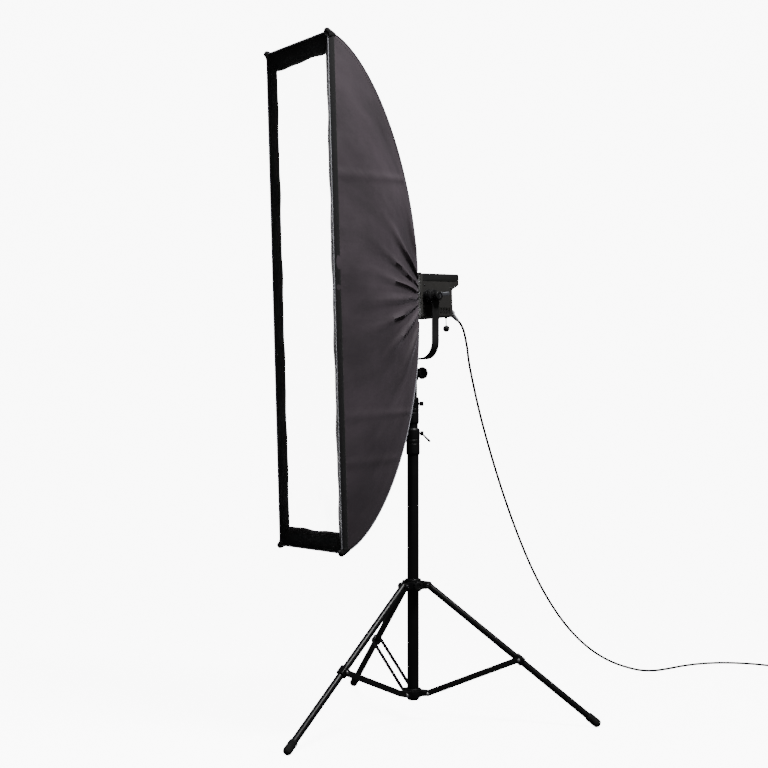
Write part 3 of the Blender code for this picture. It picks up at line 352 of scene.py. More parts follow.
@dataclass(frozen=True)
class GlowingCloth(Finish):
    """White diffusion cloth lit from behind: it glows evenly, with painted shade greying the glow along
    creases, most near its lower end.
    """

    strength: float = 1.0
    low_z: float = 0.6

    def dress(self, g: Graph) -> None:
        """Painted crease shade in the glow, and creases in the bump."""
        place = g.place()
        _, _, z = g.axes(place)
        low = 1 - z.step(self.low_z, self.low_z + 0.14)
        folds = g.noise(g.stretched(place, (16, 16, 5), (0.0, 0.35, 0.0)), 1.0, 3.0, 0.55).step(0.5, 0.62)
        fibres = g.noise(g.stretched(place, (1500, 1500, 260)), 1.0, 2.0)
        # painted shade: the glow greys along the creases, far more below low_z
        grey = low * folds * 0.2 + folds * 0.02
        g.set(base_color=self.colour, emission_color=g.mix(grey, (1.0, 1.0, 1.0), (0.62, 0.62, 0.66)),
              emission_strength=self.strength)
        g.bump(fibres * 0.4 + folds * low * 3.0, 0.3, 0.0006)


@dataclass(frozen=True)
class SilverLining(Finish):
    """Dimpled silver coating inside the softbox."""

    def dress(self, g: Graph) -> None:
        """Dimples in a small grid."""
        across, along, _ = g.axes(g.uv())
        dimples = (across * 2100.0).sine() * (along * 2100.0).sine()
        g.set(roughness=dimples * 0.05 + self.roughness)
        g.bump(dimples, 0.5, 0.0003)


@dataclass(frozen=True)
class TurnedMetal(Finish):
    """Bright metal with fine tool lines along one direction."""

    lines: tuple[float, float, float] = (40.0, 40.0, 1500.0)

    def dress(self, g: Graph) -> None:
        """Tool lines in roughness and bump."""
        place = g.place()
        tool = g.noise(g.stretched(place, self.lines), 1.0, 3.0)
        stain = g.noise(place, 60.0, 3.0).step(0.45, 0.75)
        g.set(base_color=g.mix(stain * 0.5, self.colour, self.lighter(0.7)),
              roughness=tool * 0.16 + stain * 0.08 + self.roughness)
        g.bump(tool, 0.2, 0.0001)


@dataclass(frozen=True)
class Phosphor(Finish):
    """A dense round patch of yellow emitters on a white board."""

    centre: tuple[float, float, float] = (0.0, 0.0, 0.0)
    radius: float = 0.026

    def dress(self, g: Graph) -> None:
        """The patch, and the emitters in rows on it."""
        x, _, z = g.axes(g.place())
        across, up = x - self.centre[0], z - self.centre[2]
        away = (across * across + up * up) ** 0.5
        patch = 1 - away.step(self.radius - 0.0004, self.radius)
        rows = ((x * 1250.0).sine() * (z * 1250.0).sine()).step(-0.1, 0.35)
        glow = g.mix(rows, (0.95, 0.72, 0.18), (1.0, 0.86, 0.35))
        g.set(base_color=g.mix(patch, (0.8, 0.8, 0.78), glow),
              emission_color=g.mix(patch, (0, 0, 0), (1, 0.93, 0.8)),
              emission_strength=2.0)
        g.bump(rows * patch, 0.6, 0.0004)


@dataclass(frozen=True)
class SolderMask(Finish):
    """Green board with copper runs under the mask."""

    def dress(self, g: Graph) -> None:
        """Runs in two directions."""
        place = g.place()
        x, _, z = g.axes(place)
        block = g.noise(place, 55.0, 1.0)
        across = ((x + block * 0.03) * 2400.0).sine().step(0.55, 0.75)
        runs = across + ((z - block * 0.02) * 1900.0).sine().step(0.8, 0.9)
        g.set(base_color=g.mix(runs * 0.6, self.colour, (0.04, 0.24, 0.09)), coat_weight=0.4)
        g.bump(runs, 0.3, 0.0001)


@dataclass(frozen=True)
class WindowGlass(Finish):
    """Gloss black window with faint fingerprints."""

    def dress(self, g: Graph) -> None:
        """Fingerprints in the roughness."""
        prints = g.noise(g.place(), 180.0, 4.0, 0.7).step(0.5, 0.8)
        g.set(roughness=prints * 0.18 + self.roughness, coat_weight=0.6, coat_roughness=0.04)


@dataclass(frozen=True)
class LitSegment(Finish):
    """A lit segment of the display."""

    def dress(self, g: Graph) -> None:
        """Even glow, a little uneven over its area."""
        spots = g.noise(g.place(), 700.0, 2.0)
        g.set(emission_color=g.mix(spots, self.colour, self.lighter(0.8)), emission_strength=2.5)


@dataclass(frozen=True)
class CordSheath(Finish):
    """Satin sheath of the lead, with a faint twist of the cores under it and dust."""

    def dress(self, g: Graph) -> None:
        """Twist in the bump, dust in the colour."""
        around, along, _ = g.axes(g.uv())
        twist = (around * 530.0 + along * 160.0).sine() * 0.5 + 0.5
        dust = g.noise(g.place(), 45.0, 4.0, 0.65).step(0.42, 0.8)
        g.set(base_color=g.mix(dust * 0.3, self.colour, self.lighter(2.4)),
              roughness=dust * 0.15 + self.roughness, specular_ior_level=0.1)
        g.bump(twist + g.noise(g.place(), 1500.0, 2.0) * 0.3, 0.2, 0.0003)


@dataclass(frozen=True)
class Studio(Finish):
    """Plain white studio paper, lit from behind as well."""

    glow: float = 9.0

    def dress(self, g: Graph) -> None:
        """A faint fibre."""
        fibre = g.noise(g.place(), 160.0, 4.0)
        g.set(base_color=g.mix(fibre, self.colour, self.lighter(0.985)), emission_color=(1.0, 1.0, 1.0),
              emission_strength=self.glow, specular_ior_level=0.0)
        g.bump(fibre, 0.05, 0.0005)


BLACK_TUBE = PowderCoat("black_tube", "black_paint", (0.0045, 0.0045, 0.0048), 0.34)
BLACK_BAR = PowderCoat("black_bar", "black_paint", (0.006, 0.006, 0.0063), 0.4, grain=900.0)
YOKE_PAINT = PowderCoat("yoke_paint", "black_paint", (0.010, 0.0097, 0.0097), 0.46, grain=900.0)
CASTING = Moulding("black_casting", "black_plastic", (0.0045, 0.0045, 0.0048), 0.44, grain=900.0,
                   depth=0.0002)
KNOB_PLASTIC = Moulding("knob_plastic", "black_plastic", (0.0055, 0.0055, 0.0058), 0.5)
PANEL_PLASTIC = Moulding("panel_plastic", "black_plastic", (0.014, 0.014, 0.0145), 0.56)
GREY_PLASTIC = Moulding("grey_plastic", "grey_connector", (0.24, 0.24, 0.25), 0.42)
CASING = CrinklePaint("casing_crinkle", "casing_paint", (0.020, 0.0188, 0.0178), 0.58)
BEZEL = CrinklePaint("bezel_crinkle", "casing_paint", (0.034, 0.033, 0.031), 0.46)
TOP_COVER = CrinklePaint("top_cover_crinkle", "casing_paint", (0.006, 0.006, 0.006), 0.6)
FOOT = FootRubber("foot_rubber", "rubber", (0.009, 0.009, 0.009), 0.82)
SIDE_CLOTH = Nylon("charcoal_nylon", "softbox_fabric", (0.040, 0.0315, 0.0375), 0.62)
LIP_CLOTH = Nylon("lip_nylon", "softbox_fabric", (0.0035, 0.0033, 0.0038), 0.78, pitch=0.0014, sheen=0.02)
POCKET_CLOTH = Nylon("pocket_nylon", "softbox_fabric", (0.0032, 0.0031, 0.0034), 0.75, pitch=0.0018,
                     sheen=0.02,
                     creased=False)
TAPE = Webbing("edge_tape", "softbox_fabric", (0.0045, 0.0042, 0.0048), 0.82)
PIPING = Webbing("pale_piping", "softbox_fabric", (0.30, 0.30, 0.33), 0.5, pitch=0.0022)
THREAD = Webbing("black_thread", "softbox_fabric", (0.022, 0.021, 0.024), 0.6, pitch=0.0006)
LINING = SilverLining("silver_lining", "softbox_fabric", (0.62, 0.62, 0.64), 0.4, metallic=0.85)
DIFFUSER = GlowingCloth("diffusion_cloth", "diffuser_fabric", (0.85, 0.85, 0.86), 0.9, strength=9.0)
BAFFLE = GlowingCloth("baffle_cloth", "diffuser_fabric", (0.85, 0.85, 0.86), 0.9, strength=3.0)
ZINC = TurnedMetal("bright_zinc", "zinc_steel", (0.56, 0.56, 0.58), 0.24, metallic=1.0)
SPRING = TurnedMetal("spring_steel", "rod_steel", (0.28, 0.28, 0.3), 0.3, metallic=1.0)
ALLOY = TurnedMetal("blasted_alloy", "aluminium", (0.62, 0.62, 0.63), 0.36, metallic=1.0,
                    lines=(300, 300, 300))
SPIGOT_STEEL = TurnedMetal("blackened_steel", "zinc_steel", (0.05, 0.05, 0.055), 0.3, metallic=1.0)
LEVER_ALLOY = TurnedMetal("lever_alloy", "black_plastic", (0.33, 0.34, 0.37), 0.3, metallic=1.0,
                          lines=(200, 200, 200))
DARK_SCREW = TurnedMetal("dark_screw", "black_paint", (0.09, 0.09, 0.095), 0.32, metallic=1.0)
PALE_RIVET = TurnedMetal("pale_rivet", "zinc_steel", (0.45, 0.45, 0.46), 0.34, metallic=1.0)
EMITTER = Phosphor("phosphor_patch", "led_phosphor", (0.9, 0.8, 0.3), 0.5)
BOARD = SolderMask("solder_mask", "circuit_board", (0.015, 0.1, 0.04), 0.4)
GLASS = WindowGlass("display_glass", "display", (0.006, 0.006, 0.008), 0.06)
SEGMENT = LitSegment("display_segment", "display", (0.35, 0.8, 1.0), 0.4)
MARKING = Moulding("pale_marking", "grey_connector", (0.5, 0.5, 0.5), 0.5)
SHEATH = CordSheath("cord_sheath", "cord_rubber", (0.0055, 0.0055, 0.0058), 0.6)
PAPER = Studio("studio_paper", "black_paint", (0.95, 0.95, 0.95), 0.9)


# ------------------------------------------------------------------ shapes on grids
@dataclass
class Shape:
    """Faces on points: the points, and lists of faces with the UV place of each face's corners, in metres."""

    points: np.ndarray
    faces: list[np.ndarray]
    uvs: list[np.ndarray]

    def __add__(self, other: "Shape") -> "Shape":
        """Both shapes in one, their shells apart."""
        shift = len(self.points)
        return Shape(np.vstack([self.points, other.points]), self.faces + [f + shift for f in other.faces],
                     self.uvs + other.uvs)

    def moved(self, matrix: np.ndarray) -> "Shape":
        """The shape through a 4 by 4 matrix. A mirroring one turns the faces over too."""
        points = self.points @ matrix[:3, :3].T + matrix[:3, 3]
        if np.linalg.det(matrix[:3, :3]) > 0:
            return Shape(points, self.faces, self.uvs)
        return Shape(points, [f[:, ::-1] for f in self.faces], [u[:, ::-1] for u in self.uvs])


def unit(vector: Any) -> np.ndarray:
    """The vector, or each row of vectors, at length one."""
    vector = np.asarray(vector, float)
    return vector / np.linalg.norm(vector, axis=-1, keepdims=True)


def at(origin: Vec = (0, 0, 0), axis: Vec = (0, 0, 1), hint: Vec = (0, 1, 0)) -> np.ndarray:
    """The matrix that takes local Z to an axis and local Y as near to a hint as it can.

    Args:
        origin: where local zero goes.
        axis: where local Z points.
        hint: roughly where local Y points.

    Returns:
        A 4 by 4 matrix.
    """
    z = unit(axis)
    if abs(z @ unit(hint)) > 0.98:
        hint = (1, 0, 0)
    x = unit(np.cross(hint, z))
    matrix = np.eye(4)
    matrix[:3, :3] = np.column_stack([x, np.cross(z, x), z])
    matrix[:3, 3] = origin
    return matrix


def chain(points: np.ndarray) -> np.ndarray:
    """Distance travelled along each row of points: the running sum of their steps."""
    steps = np.linalg.norm(np.diff(points, axis=0), axis=-1)
    return np.concatenate([[0.0], np.cumsum(steps)])


def loft(rings: np.ndarray, closed: bool = True, caps: bool = True) -> Shape:
    """Quads between neighbouring rings of points: ring i, point j joins i + 1 and j + 1.

    Args:
        rings: points, by ring, by place round the ring.
        closed: whether each ring closes on itself.
        caps: whether the first and last ring are closed by a fan to their middle.

    Returns:
        The shape, with U round the rings and V along them.
    """
    count, around = rings.shape[:2]
    i = np.arange(count - 1)[:, None]
    j = np.arange(around if closed else around - 1)[None, :]
    after = (j + 1) % around
    quads = np.stack([i * around + j, i * around + after, (i + 1) * around + after, (i + 1) * around + j], -1)
    loop = np.concatenate([rings, rings[:, :1]], axis=1) if closed else rings
    u = chain(loop[count // 2])
    v = chain(rings[:, 0])
    corner = np.stack(np.broadcast_arrays(u[j], v[i]), -1)
    across = np.stack(np.broadcast_arrays(u[j + 1], v[i]), -1)
    far = np.stack(np.broadcast_arrays(u[j + 1], v[i + 1]), -1)
    up = np.stack(np.broadcast_arrays(u[j], v[i + 1]), -1)
    shape = Shape(rings.reshape(-1, 3), [quads.reshape(-1, 4)],
                  [np.stack([corner, across, far, up], -2).reshape(-1, 4, 2)])
    if caps and closed:
        ends = rings[[0, -1]].mean(axis=1)
        j = np.arange(around)
        after = (j + 1) % around
        last = (count - 1) * around
        first_fan = np.stack([after, j, np.full(around, len(shape.points))], -1)
        last_fan = np.stack([last + j, last + after, np.full(around, len(shape.points) + 1)], -1)
        shape.points = np.vstack([shape.points, ends])
        for fan in (first_fan, last_fan):
            flat = shape.points[fan]
            shape.faces.append(fan)
            shape.uvs.append((flat - flat.mean(axis=(0, 1)))[..., [0, 2]])
    return shape


def softened(corners: Any, radius: float, steps: int = 4, closed: bool = False) -> np.ndarray:
    """A polyline with each corner C rounded: A(1-t)^2 + 2Ct(1-t) + Bt^2, A and B a radius either side.

    Args:
        corners: the polyline's points, in 2 or 3 dimensions.
        radius: how far from a corner the rounding starts, at most 0.45 of a side.
        steps: pieces in each rounding.
        closed: whether the last point joins the first.

    Returns:
        The rounded line's points.
    """
    corners = np.asarray(corners, float)
    before, after = np.roll(corners, 1, axis=0), np.roll(corners, -1, axis=0)
    to_before, to_after = before - corners, after - corners
    length_before = np.linalg.norm(to_before, axis=1, keepdims=True) + 1e-12
    length_after = np.linalg.norm(to_after, axis=1, keepdims=True) + 1e-12
    a = corners + to_before / length_before * np.minimum(radius, 0.45 * length_before)
    b = corners + to_after / length_after * np.minimum(radius, 0.45 * length_after)
    t = np.linspace(0, 1, steps + 1)[None, :, None]
    arcs = a[:, None] * (1 - t) ** 2 + 2 * corners[:, None] * t * (1 - t) + b[:, None] * t ** 2
    if closed:
        return arcs.reshape(-1, corners.shape[1])
    return np.vstack([corners[:1], arcs[1:-1].reshape(-1, corners.shape[1]), corners[-1:]])


def lathe(profile: Any, edge: float = 0.0008, segments: int = 48, hollow: bool = False, flutes: int = 0,
          depth: float = 0.0) -> Shape:
    """A profile of (radius, height) turned about Z: (r cos a, r sin a, h). Flutes scale r by a cosine of a.

    Args:
        profile: the outer side from low to high, or for a hollow shape the whole section.
        edge: how far the profile's corners are rounded.
        segments: facets round the axis.
        hollow: whether the profile is a closed section that doesn't reach the axis.
        flutes: how many finger flutes it has.
        depth: the flutes' share of the radius.

    Returns:
        The turned shape.
    """
    line = softened(profile, edge, 4, closed=hollow)
    if hollow:
        line = np.vstack([line, line[:1]])
    radius, height = np.abs(line[:, 0]), line[:, 1]
    angle = np.linspace(0, math.tau, segments, endpoint=False)
    groove = (0.5 - 0.5 * np.cos(flutes * angle)) ** 3 if flutes else np.zeros(segments)
    share = np.clip((radius / radius.max() - 0.7) / 0.3, 0, 1)[:, None]
    reach = radius[:, None] * (1 - depth * groove[None, :] * share)
    rings = np.stack([reach * np.cos(angle), reach * np.sin(angle),
                      np.broadcast_to(height[:, None], reach.shape)], -1)
    return loft(rings, caps=not hollow)


def sweep(path: Any, half_a: Any, half_b: Any, hint: Vec, square: float = 1.0, sides: int = 24,
          caps: bool = True) -> Shape:
    """A section carried along a path: p + A a sgn(cos)|cos|^s + B b sgn(sin)|sin|^s, square at s = 0.

    Args:
        path: the middle line's points.
        half_a: half size along A, which is square to the path and to the hint, for each point or for all.
        half_b: half size along B, as near to the hint as it can be.
        hint: where B points.
        square: the exponent s.
        sides: points round the section.
        caps: whether its ends are closed.

    Returns:
        The swept shape.
    """
    path = np.asarray(path, float)
    tangent = unit(np.gradient(path, axis=0))
    hints = np.broadcast_to(np.asarray(hint, float), path.shape)
    a = unit(np.cross(hints, tangent))
    b = np.cross(tangent, a)
    angle = np.linspace(0, math.tau, sides, endpoint=False)
    c = np.sign(np.cos(angle)) * np.abs(np.cos(angle)) ** square
    s = np.sign(np.sin(angle)) * np.abs(np.sin(angle)) ** square
    wide = np.broadcast_to(half_a, len(path))[:, None, None]
    high = np.broadcast_to(half_b, len(path))[:, None, None]
    rings = path[:, None] + a[:, None] * wide * c[None, :, None] + b[:, None] * high * s[None, :, None]
    return loft(rings[:, ::-1], caps=caps)


def bar(start: Vec, end: Vec, half_a: float, half_b: float, hint: Vec, edge: float = 0.001,
        square: float = 0.25, sides: int = 32) -> Shape:
    """A straight bar with rounded ends: its section shrinks as 1 - sqrt(1 - x^2) over the last edge."""
    start, end = np.asarray(start, float), np.asarray(end, float)
    length = np.linalg.norm(end - start)
    turn = np.linspace(0, math.pi / 2, 5)
    inset = edge * (1 - np.sin(turn))
    near = edge * (1 - np.cos(turn))
    along = np.concatenate([near, length - near[::-1]])
    shrink = np.concatenate([inset, inset[::-1]])
    path = start + unit(end - start) * along[:, None]
    return sweep(path, half_a - shrink, half_b - shrink, hint, square, sides)


def outline_offset(outline: np.ndarray, inset: float) -> np.ndarray:
    """A closed outline moved inward: each point goes along the mean of its two sides' normals."""
    before, after = np.roll(outline, 1, axis=0), np.roll(outline, -1, axis=0)
    tangent = unit(after - before)
    normal = np.stack([-tangent[:, 1], tangent[:, 0]], -1)
    area = np.sum(outline[:, 0] * after[:, 1] - after[:, 0] * outline[:, 1])
    return outline + normal * inset * np.sign(area)


def slab(outline: Any, low: float, high: float, edge: float = 0.001, corner: float = 0.0) -> Shape:
    """A flat outline given thickness along Z, its rims rounded as a quarter circle.

    Args:
        outline: the closed outline in XY.
        low: where it starts along Z.
        high: where it ends.
        edge: the rims' radius.
        corner: how far the outline's own corners are rounded.

    Returns:
        The closed shape.
    """
    flat = softened(outline, corner, 6, closed=True) if corner else np.asarray(outline, float)
    turn = np.linspace(0, math.pi / 2, 5)
    inset = edge * (1 - np.sin(turn))
    rise = edge * (1 - np.cos(turn))
    levels = np.concatenate([low + rise, high - rise[::-1]])
    insets = np.concatenate([inset, inset[::-1]])
    rings = np.stack([np.column_stack([outline_offset(flat, i), np.full(len(flat), z)])
                      for i, z in zip(insets, levels)])
    return loft(rings)


def box_shape(size: Vec, centre: Vec = (0, 0, 0), edge: float = 0.001, corner: float = 0.002) -> Shape:
    """A box with rounded upright corners and rounded rims."""
    x, y, z = (part / 2 for part in size)
    made = slab([(-x, -y), (x, -y), (x, y), (-x, y)], -z, z, edge, corner)
    return made.moved(at(centre))


def stadium(length: float, width: float, steps: int = 14) -> np.ndarray:
    """A bar's outline from one pin to the other along X, with half circles round both."""
    turn = np.linspace(-math.pi / 2, math.pi / 2, steps)
    cap = width / 2 * np.column_stack([np.cos(turn), np.sin(turn)])
    return np.vstack([cap + (length, 0), -cap])


def tube(path: Any, radius: float, hint: Vec, sides: int = 16, caps: bool = True) -> Shape:
    """A round section along a path."""
    return sweep(path, radius, radius, hint, 1.0, sides, caps)


def curve_through(route: Any, step: float) -> np.ndarray:
    """Catmull-Rom curve through points, sampled at even steps.

    Args:
        route: the points it passes through.
        step: the distance between samples.

    Returns:
        The samples.
    """
    route = np.asarray(route, float)
    padded = np.vstack([2 * route[0] - route[1], route, 2 * route[-1] - route[-2]])
    a, b, c, d = (padded[i:len(padded) - 3 + i, None] for i in range(4))
    t = np.linspace(0, 1, 24, endpoint=False)[None, :, None]
    fine = 0.5 * (2 * b + (c - a) * t + (2 * a - 5 * b + 4 * c - d) * t**2 + (3 * b - a - 3 * c + d) * t**3)
    fine = np.vstack([fine.reshape(-1, 3), route[-1:]])
    travelled = chain(fine)
    wanted = np.linspace(0, travelled[-1], max(2, int(round(travelled[-1] / step)) + 1))
    return np.column_stack([np.interp(wanted, travelled, fine[:, k]) for k in range(3)])


def level(azimuth: float) -> np.ndarray:
    """The level direction at an azimuth in degrees from +X."""
    return np.array([math.cos(math.radians(azimuth)), math.sin(math.radians(azimuth)), 0.0])


UP = np.array([0.0, 0.0, 1.0])
ON_SIDE = np.array([[0, 0, 1, 0], [1, 0, 0, 0], [0, 1, 0, 0], [0, 0, 0, 1]], float)


# ------------------------------------------------------------------ frame places
@dataclass
class Layout:
    """Where the frame puts the column, the tilt axis and the lamp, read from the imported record."""

    joints: dict[str, dict[str, Any]] = field(default_factory=lambda: {j["name"]: j for j in frame["joints"]})

    def pivot(self, joint: str) -> np.ndarray:
        """A hinge's place."""
        return np.array(self.joints[joint]["pos_m"], float)

    def axis(self, joint: str) -> np.ndarray:
        """A joint's direction."""
        return unit(self.joints[joint]["axis"])

    def low(self, node: str) -> np.ndarray:
        """A node's lowest corner."""
        return np.array(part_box(node)[0])

    def high(self, node: str) -> np.ndarray:
        """A node's highest corner."""
        return np.array(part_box(node)[1])

    def size(self, node: str) -> np.ndarray:
        """A node's box."""
        return self.high(node) - self.low(node)

    def column(self, height: float = 0.0) -> np.ndarray:
        """A point on the column's axis."""
        x, y, _ = self.pivot("head_swivel")
        return np.array([x, y, height])

    def lamp(self) -> np.ndarray:
        """The matrix from the lamp's own level frame, whose zero is the tilt axis, to the row's."""
        rear = self.axis("softbox_turn")
        return at(self.pivot("head_tilt"), np.cross((1, 0, 0), rear), rear)

    def in_lamp(self, node: str) -> tuple[np.ndarray, np.ndarray]:
        """A node's lowest and highest corner in the lamp's frame."""
        points = np.array([v.co for v in frame["nodes"][node].data.vertices], float)
        matrix = self.lamp()
        local = (points - matrix[:3, 3]) @ matrix[:3, :3]
        return local.min(axis=0), local.max(axis=0)


PLACES = Layout()


# ------------------------------------------------------------------ making pieces
class Normals(Enum):
    """How a piece's faces are turned."""

    CLOSED = "closed"
    AS_MADE = "as made"


def make(name: str, shape: Shape, finish: Finish, body: str | None, replaces: Iterable[str] = (),
         normals: Normals = Normals.CLOSED, sharp: float = 38.0) -> bpy.types.Object:
    """Turns a shape into a piece of the model.

    Args:
        name: the piece's name.
        shape: its faces.
        finish: its finish.
        body: the CAD body it rides on, or None for a piece that is blended or staged.
        replaces: the CAD nodes it stands for.
        normals: whether the faces are turned outward.
        sharp: the angle in degrees past which an edge is shaded sharp.

    Returns:
        The object, at the origin.
    """
    mesh = bpy.data.meshes.new(name)
    mesh.from_pydata(shape.points.tolist(), [], [f for faces in shape.faces for f in faces.tolist()])
    layer = mesh.uv_layers.new(name="UVMap")
    layer.data.foreach_set("uv", np.concatenate([u.reshape(-1) for u in shape.uvs]).astype(np.float32))
    if normals is Normals.CLOSED:
        bm = bmesh.new()
        bm.from_mesh(mesh)
        bmesh.ops.remove_doubles(bm, verts=bm.verts, dist=1e-6)
        bmesh.ops.recalc_face_normals(bm, faces=bm.faces)
        bm.to_mesh(mesh)
        bm.free()
    mesh.shade_smooth()
    mesh.set_sharp_from_angle(angle=math.radians(sharp))
    mesh.materials.append(finish.material())
    made = bpy.data.objects.new(name, mesh)
    bpy.context.scene.collection.objects.link(made)
    if body:
        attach(made, body)
    if replaces:
        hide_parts(*replaces)
    LOG.info("%s: %d faces on %s", name, len(mesh.polygons), body)
    return made


def thickened(made: bpy.types.Object, wall: float, inner: Finish | None = None,
              offset: float = -1.0) -> bpy.types.Object:
    """Gives cloth its thickness, with another finish on its inner side if there is one."""
    if inner:
        made.data.materials.append(inner.material())
    solid = made.modifiers.new("wall", "SOLIDIFY")
    solid.thickness = wall
    solid.offset = offset
    solid.use_even_offset = False
    solid.material_offset = 1 if inner else 0
    return made


def refinish(node: str, finish: Finish) -> None:
    """Dresses a CAD node whose shape stays."""
    made = frame["nodes"][node]
    made.data.materials.clear()
    made.data.materials.append(finish.material())


def screw_head(radius: float, height: float, slot: float = 0.35) -> Shape:
    """A pan head with a round recess: turned, with the recess as a drop of the inner rings."""
    line = [(radius, 0), (radius, height * 0.55), (radius * 0.8, height), (radius * slot, height),
            (radius * slot * 0.96, height * 0.25), (0.0002, height * 0.25)]
    return lathe(line, radius * 0.12, 30)


# ------------------------------------------------------------------ mains lead
@dataclass
class MainsLead:
    """The lead: out of the lamp's connector, down to the floor and into a neat coil with its plug."""

    diameter: float = 0.0075
    turns_across: int = 3
    layers: int = 3
    route: tuple[tuple[float, float, float], ...] = (
        (0.0881, 0.2265, 1.1748), (0.0881, 0.2352, 1.1680), (0.0878, 0.2444, 1.1563),
        (0.0871, 0.2534, 1.1386),
        (0.0844, 0.2670, 1.0950), (0.0828, 0.2807, 1.0300), (0.0800, 0.3235, 0.8920),
        (0.0783, 0.3745, 0.7570),
        (0.0772, 0.4297, 0.6280), (0.0729, 0.4922, 0.5070), (0.0661, 0.5619, 0.3950),
        (0.0580, 0.6417, 0.2930),
        (0.0488, 0.7317, 0.2040), (0.0385, 0.8348, 0.1290), (0.0272, 0.9519, 0.0700),
        (0.0131, 1.0844, 0.0270),
        (0.0017, 1.1865, 0.0085), (-0.0055, 1.2773, 0.0040), (-0.0075, 1.3577, 0.0040),
        (0.0039, 1.4421, 0.0040),
        (0.0408, 1.5195, 0.0040), (0.1031, 1.5750, 0.0040), (0.1654, 1.6024, 0.0040),
        (0.2211, 1.6097, 0.0040),
        (0.2662, 1.6091, 0.0040),
    )
    step: float = 0.006
    first_cuts: tuple[float, float, float] = (0.055, 0.13, 0.21)
    turn_samples: int = 96
    easing: float = 0.32
    last_arc: float = 0.046
    early: float = 75.0

    def coil(self) -> np.ndarray:
        """The coil's middle line: c + r(cos a, sin a), where r and z step by a diameter between turns."""
        low, high = PLACES.low("cord_coil"), PLACES.high("cord_coil")
        centre = (low + high) / 2
        outer = (high[0] - low[0]) / 2
        pitch = self.diameter
        outmost = outer - pitch / 2
        samples, shift = self.turn_samples, self.easing
        slots = []
        for layer in range(self.layers):
            order = range(self.turns_across) if layer % 2 == 0 else reversed(range(self.turns_across))
            slots += [(outmost - pitch * ring, pitch * (layer + 0.5)) for ring in order]
        radius, height = np.array(slots).T
        count = len(slots)
        turn = np.linspace(0, count, count * samples, endpoint=False)
        whole = np.floor(turn).astype(int)
        part = np.clip((turn - whole - (1 - shift)) / shift, 0, 1)
        ease = part * part * (3 - 2 * part)
        after = np.minimum(whole + 1, count - 1)
        r = radius[whole] + (radius[after] - radius[whole]) * ease
        z = height[whole] + (height[after] - height[whole]) * ease
        angle = -math.pi / 2 + turn * math.tau
        return np.column_stack([centre[0] + r * np.cos(angle), centre[1] + r * np.sin(angle), low[2] + z])

    def whole_line(self) -> np.ndarray:
        """The lead's middle line from the connector to the plug."""
        leaving, ending = self.free_end()
        samples = int(round((360 - leaving) / 360 * self.turn_samples))
        start = np.asarray(self.route[:-1], float)
        return curve_through(np.vstack([start, self.coil()[:-samples:6], ending]), self.step)

    def free_end(self) -> tuple[float, np.ndarray]:
        """The end that leaves the coil over its outer turns: an arc, its tangent and a wider arc to the plug.

        Returns:
            How far round the last turn the coil ends, in degrees, and the points from there to the plug.
        """
        low, high = PLACES.low("cord_coil"), PLACES.high("cord_coil")
        centre = ((low + high) / 2)[:2]
        radius = (high[0] - low[0]) / 2 - self.diameter * (self.turns_across - 0.5)
        plug, wide, early = self.plug_frame(), self.last_arc, math.radians(self.early)
        way = plug[:3, 2]
        entry = plug[:3, 3] - way * 0.012
        heading = math.atan2(way[1], way[0])
        hub = entry[:2] + wide * np.array([-way[1], way[0]])
        apart = hub - centre
        span, bearing = np.hypot(*apart), math.atan2(apart[1], apart[0])
        leave = bearing - math.asin((wide - radius) / span)
        straight = span * math.cos(leave - bearing)
        turned = (heading - leave) % math.tau
        run = np.arange(-early * radius, straight + turned * wide, self.step)
        first = leave + np.minimum(run, 0) / radius
        second = leave + np.maximum(run - straight, 0) / wide
        on_coil = centre + radius * np.column_stack([np.sin(first), -np.cos(first)])
        line = on_coil + np.clip(run, 0, straight)[:, None] * np.array([math.cos(leave), math.sin(leave)])
        on_arc = hub + wide * np.column_stack([np.sin(second), -np.cos(second)])
        flat = np.where((run > straight)[:, None], on_arc, line)
        top, over, floor = high[2] - self.diameter / 2, high[2] + self.diameter * 0.55, 0.0042
        total = straight + turned * wide
        knots = np.array([-early * radius, 0.010, 0.040, 0.125, 0.135, total])
        z = np.array([top, over, over, floor, floor, entry[2]])
        share = np.interp(run, knots, np.arange(len(knots)))
        step = np.minimum(share.astype(int), len(knots) - 2)
        part = share - step
        rise = z[step] + (z[step + 1] - z[step]) * part * part * (3 - 2 * part)
        points = np.column_stack([flat, rise])
        leaving = math.degrees(leave - early) % 360
        return leaving, np.vstack([points, [entry + way * 0.002], [entry + way * 0.014]])

    def plug_frame(self) -> np.ndarray:
        """The plug's place beside the coil: its cord end at zero and its pins along Z."""
        low, high = PLACES.low("cord_coil"), PLACES.high("cord_coil")
        outer = (high[0] - low[0]) / 2
        centre = np.array([(low[0] + high[0]) / 2, (low[1] + high[1]) / 2, 0.017])
        way = level(130)
        spot = centre + level(10) * (outer + 0.019) - way * 0.0108
        return at(spot, way, UP)

    def build(self) -> None:
        """Makes the lead in stretches, none of them attached to a body, and its plug."""
        line = self.whole_line()
        travelled = chain(line)
        marks = [0, *np.searchsorted(travelled, self.first_cuts).tolist(), len(line) - 1]
        pairs = (("head", "yoke"), ("yoke", "top_section"), ("top_section", "middle_section"),
                 ("middle_section", "root"))
        LOG.info("lead: %.3f m", travelled[-1])
        for number, (first, final) in enumerate(zip(marks, marks[1:])):
            part = line[first:final + 1]
            flat = np.clip((part[:, 2] - 0.004) / 0.05, 0, 1)[:, None]
            hint = np.array([[1.0, 0, 0]]) * flat + np.array([[0, 0, 1.0]]) * (1 - flat)
            name = f"mains_cord_{number + 1}"
            made = make(name, self.tube_along(part, hint), SHEATH, None)
            last = number == len(pairs) - 1
            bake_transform(made)
            if last:
                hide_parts("power_cord", "cord_coil")
            [self.plug()] if last else []

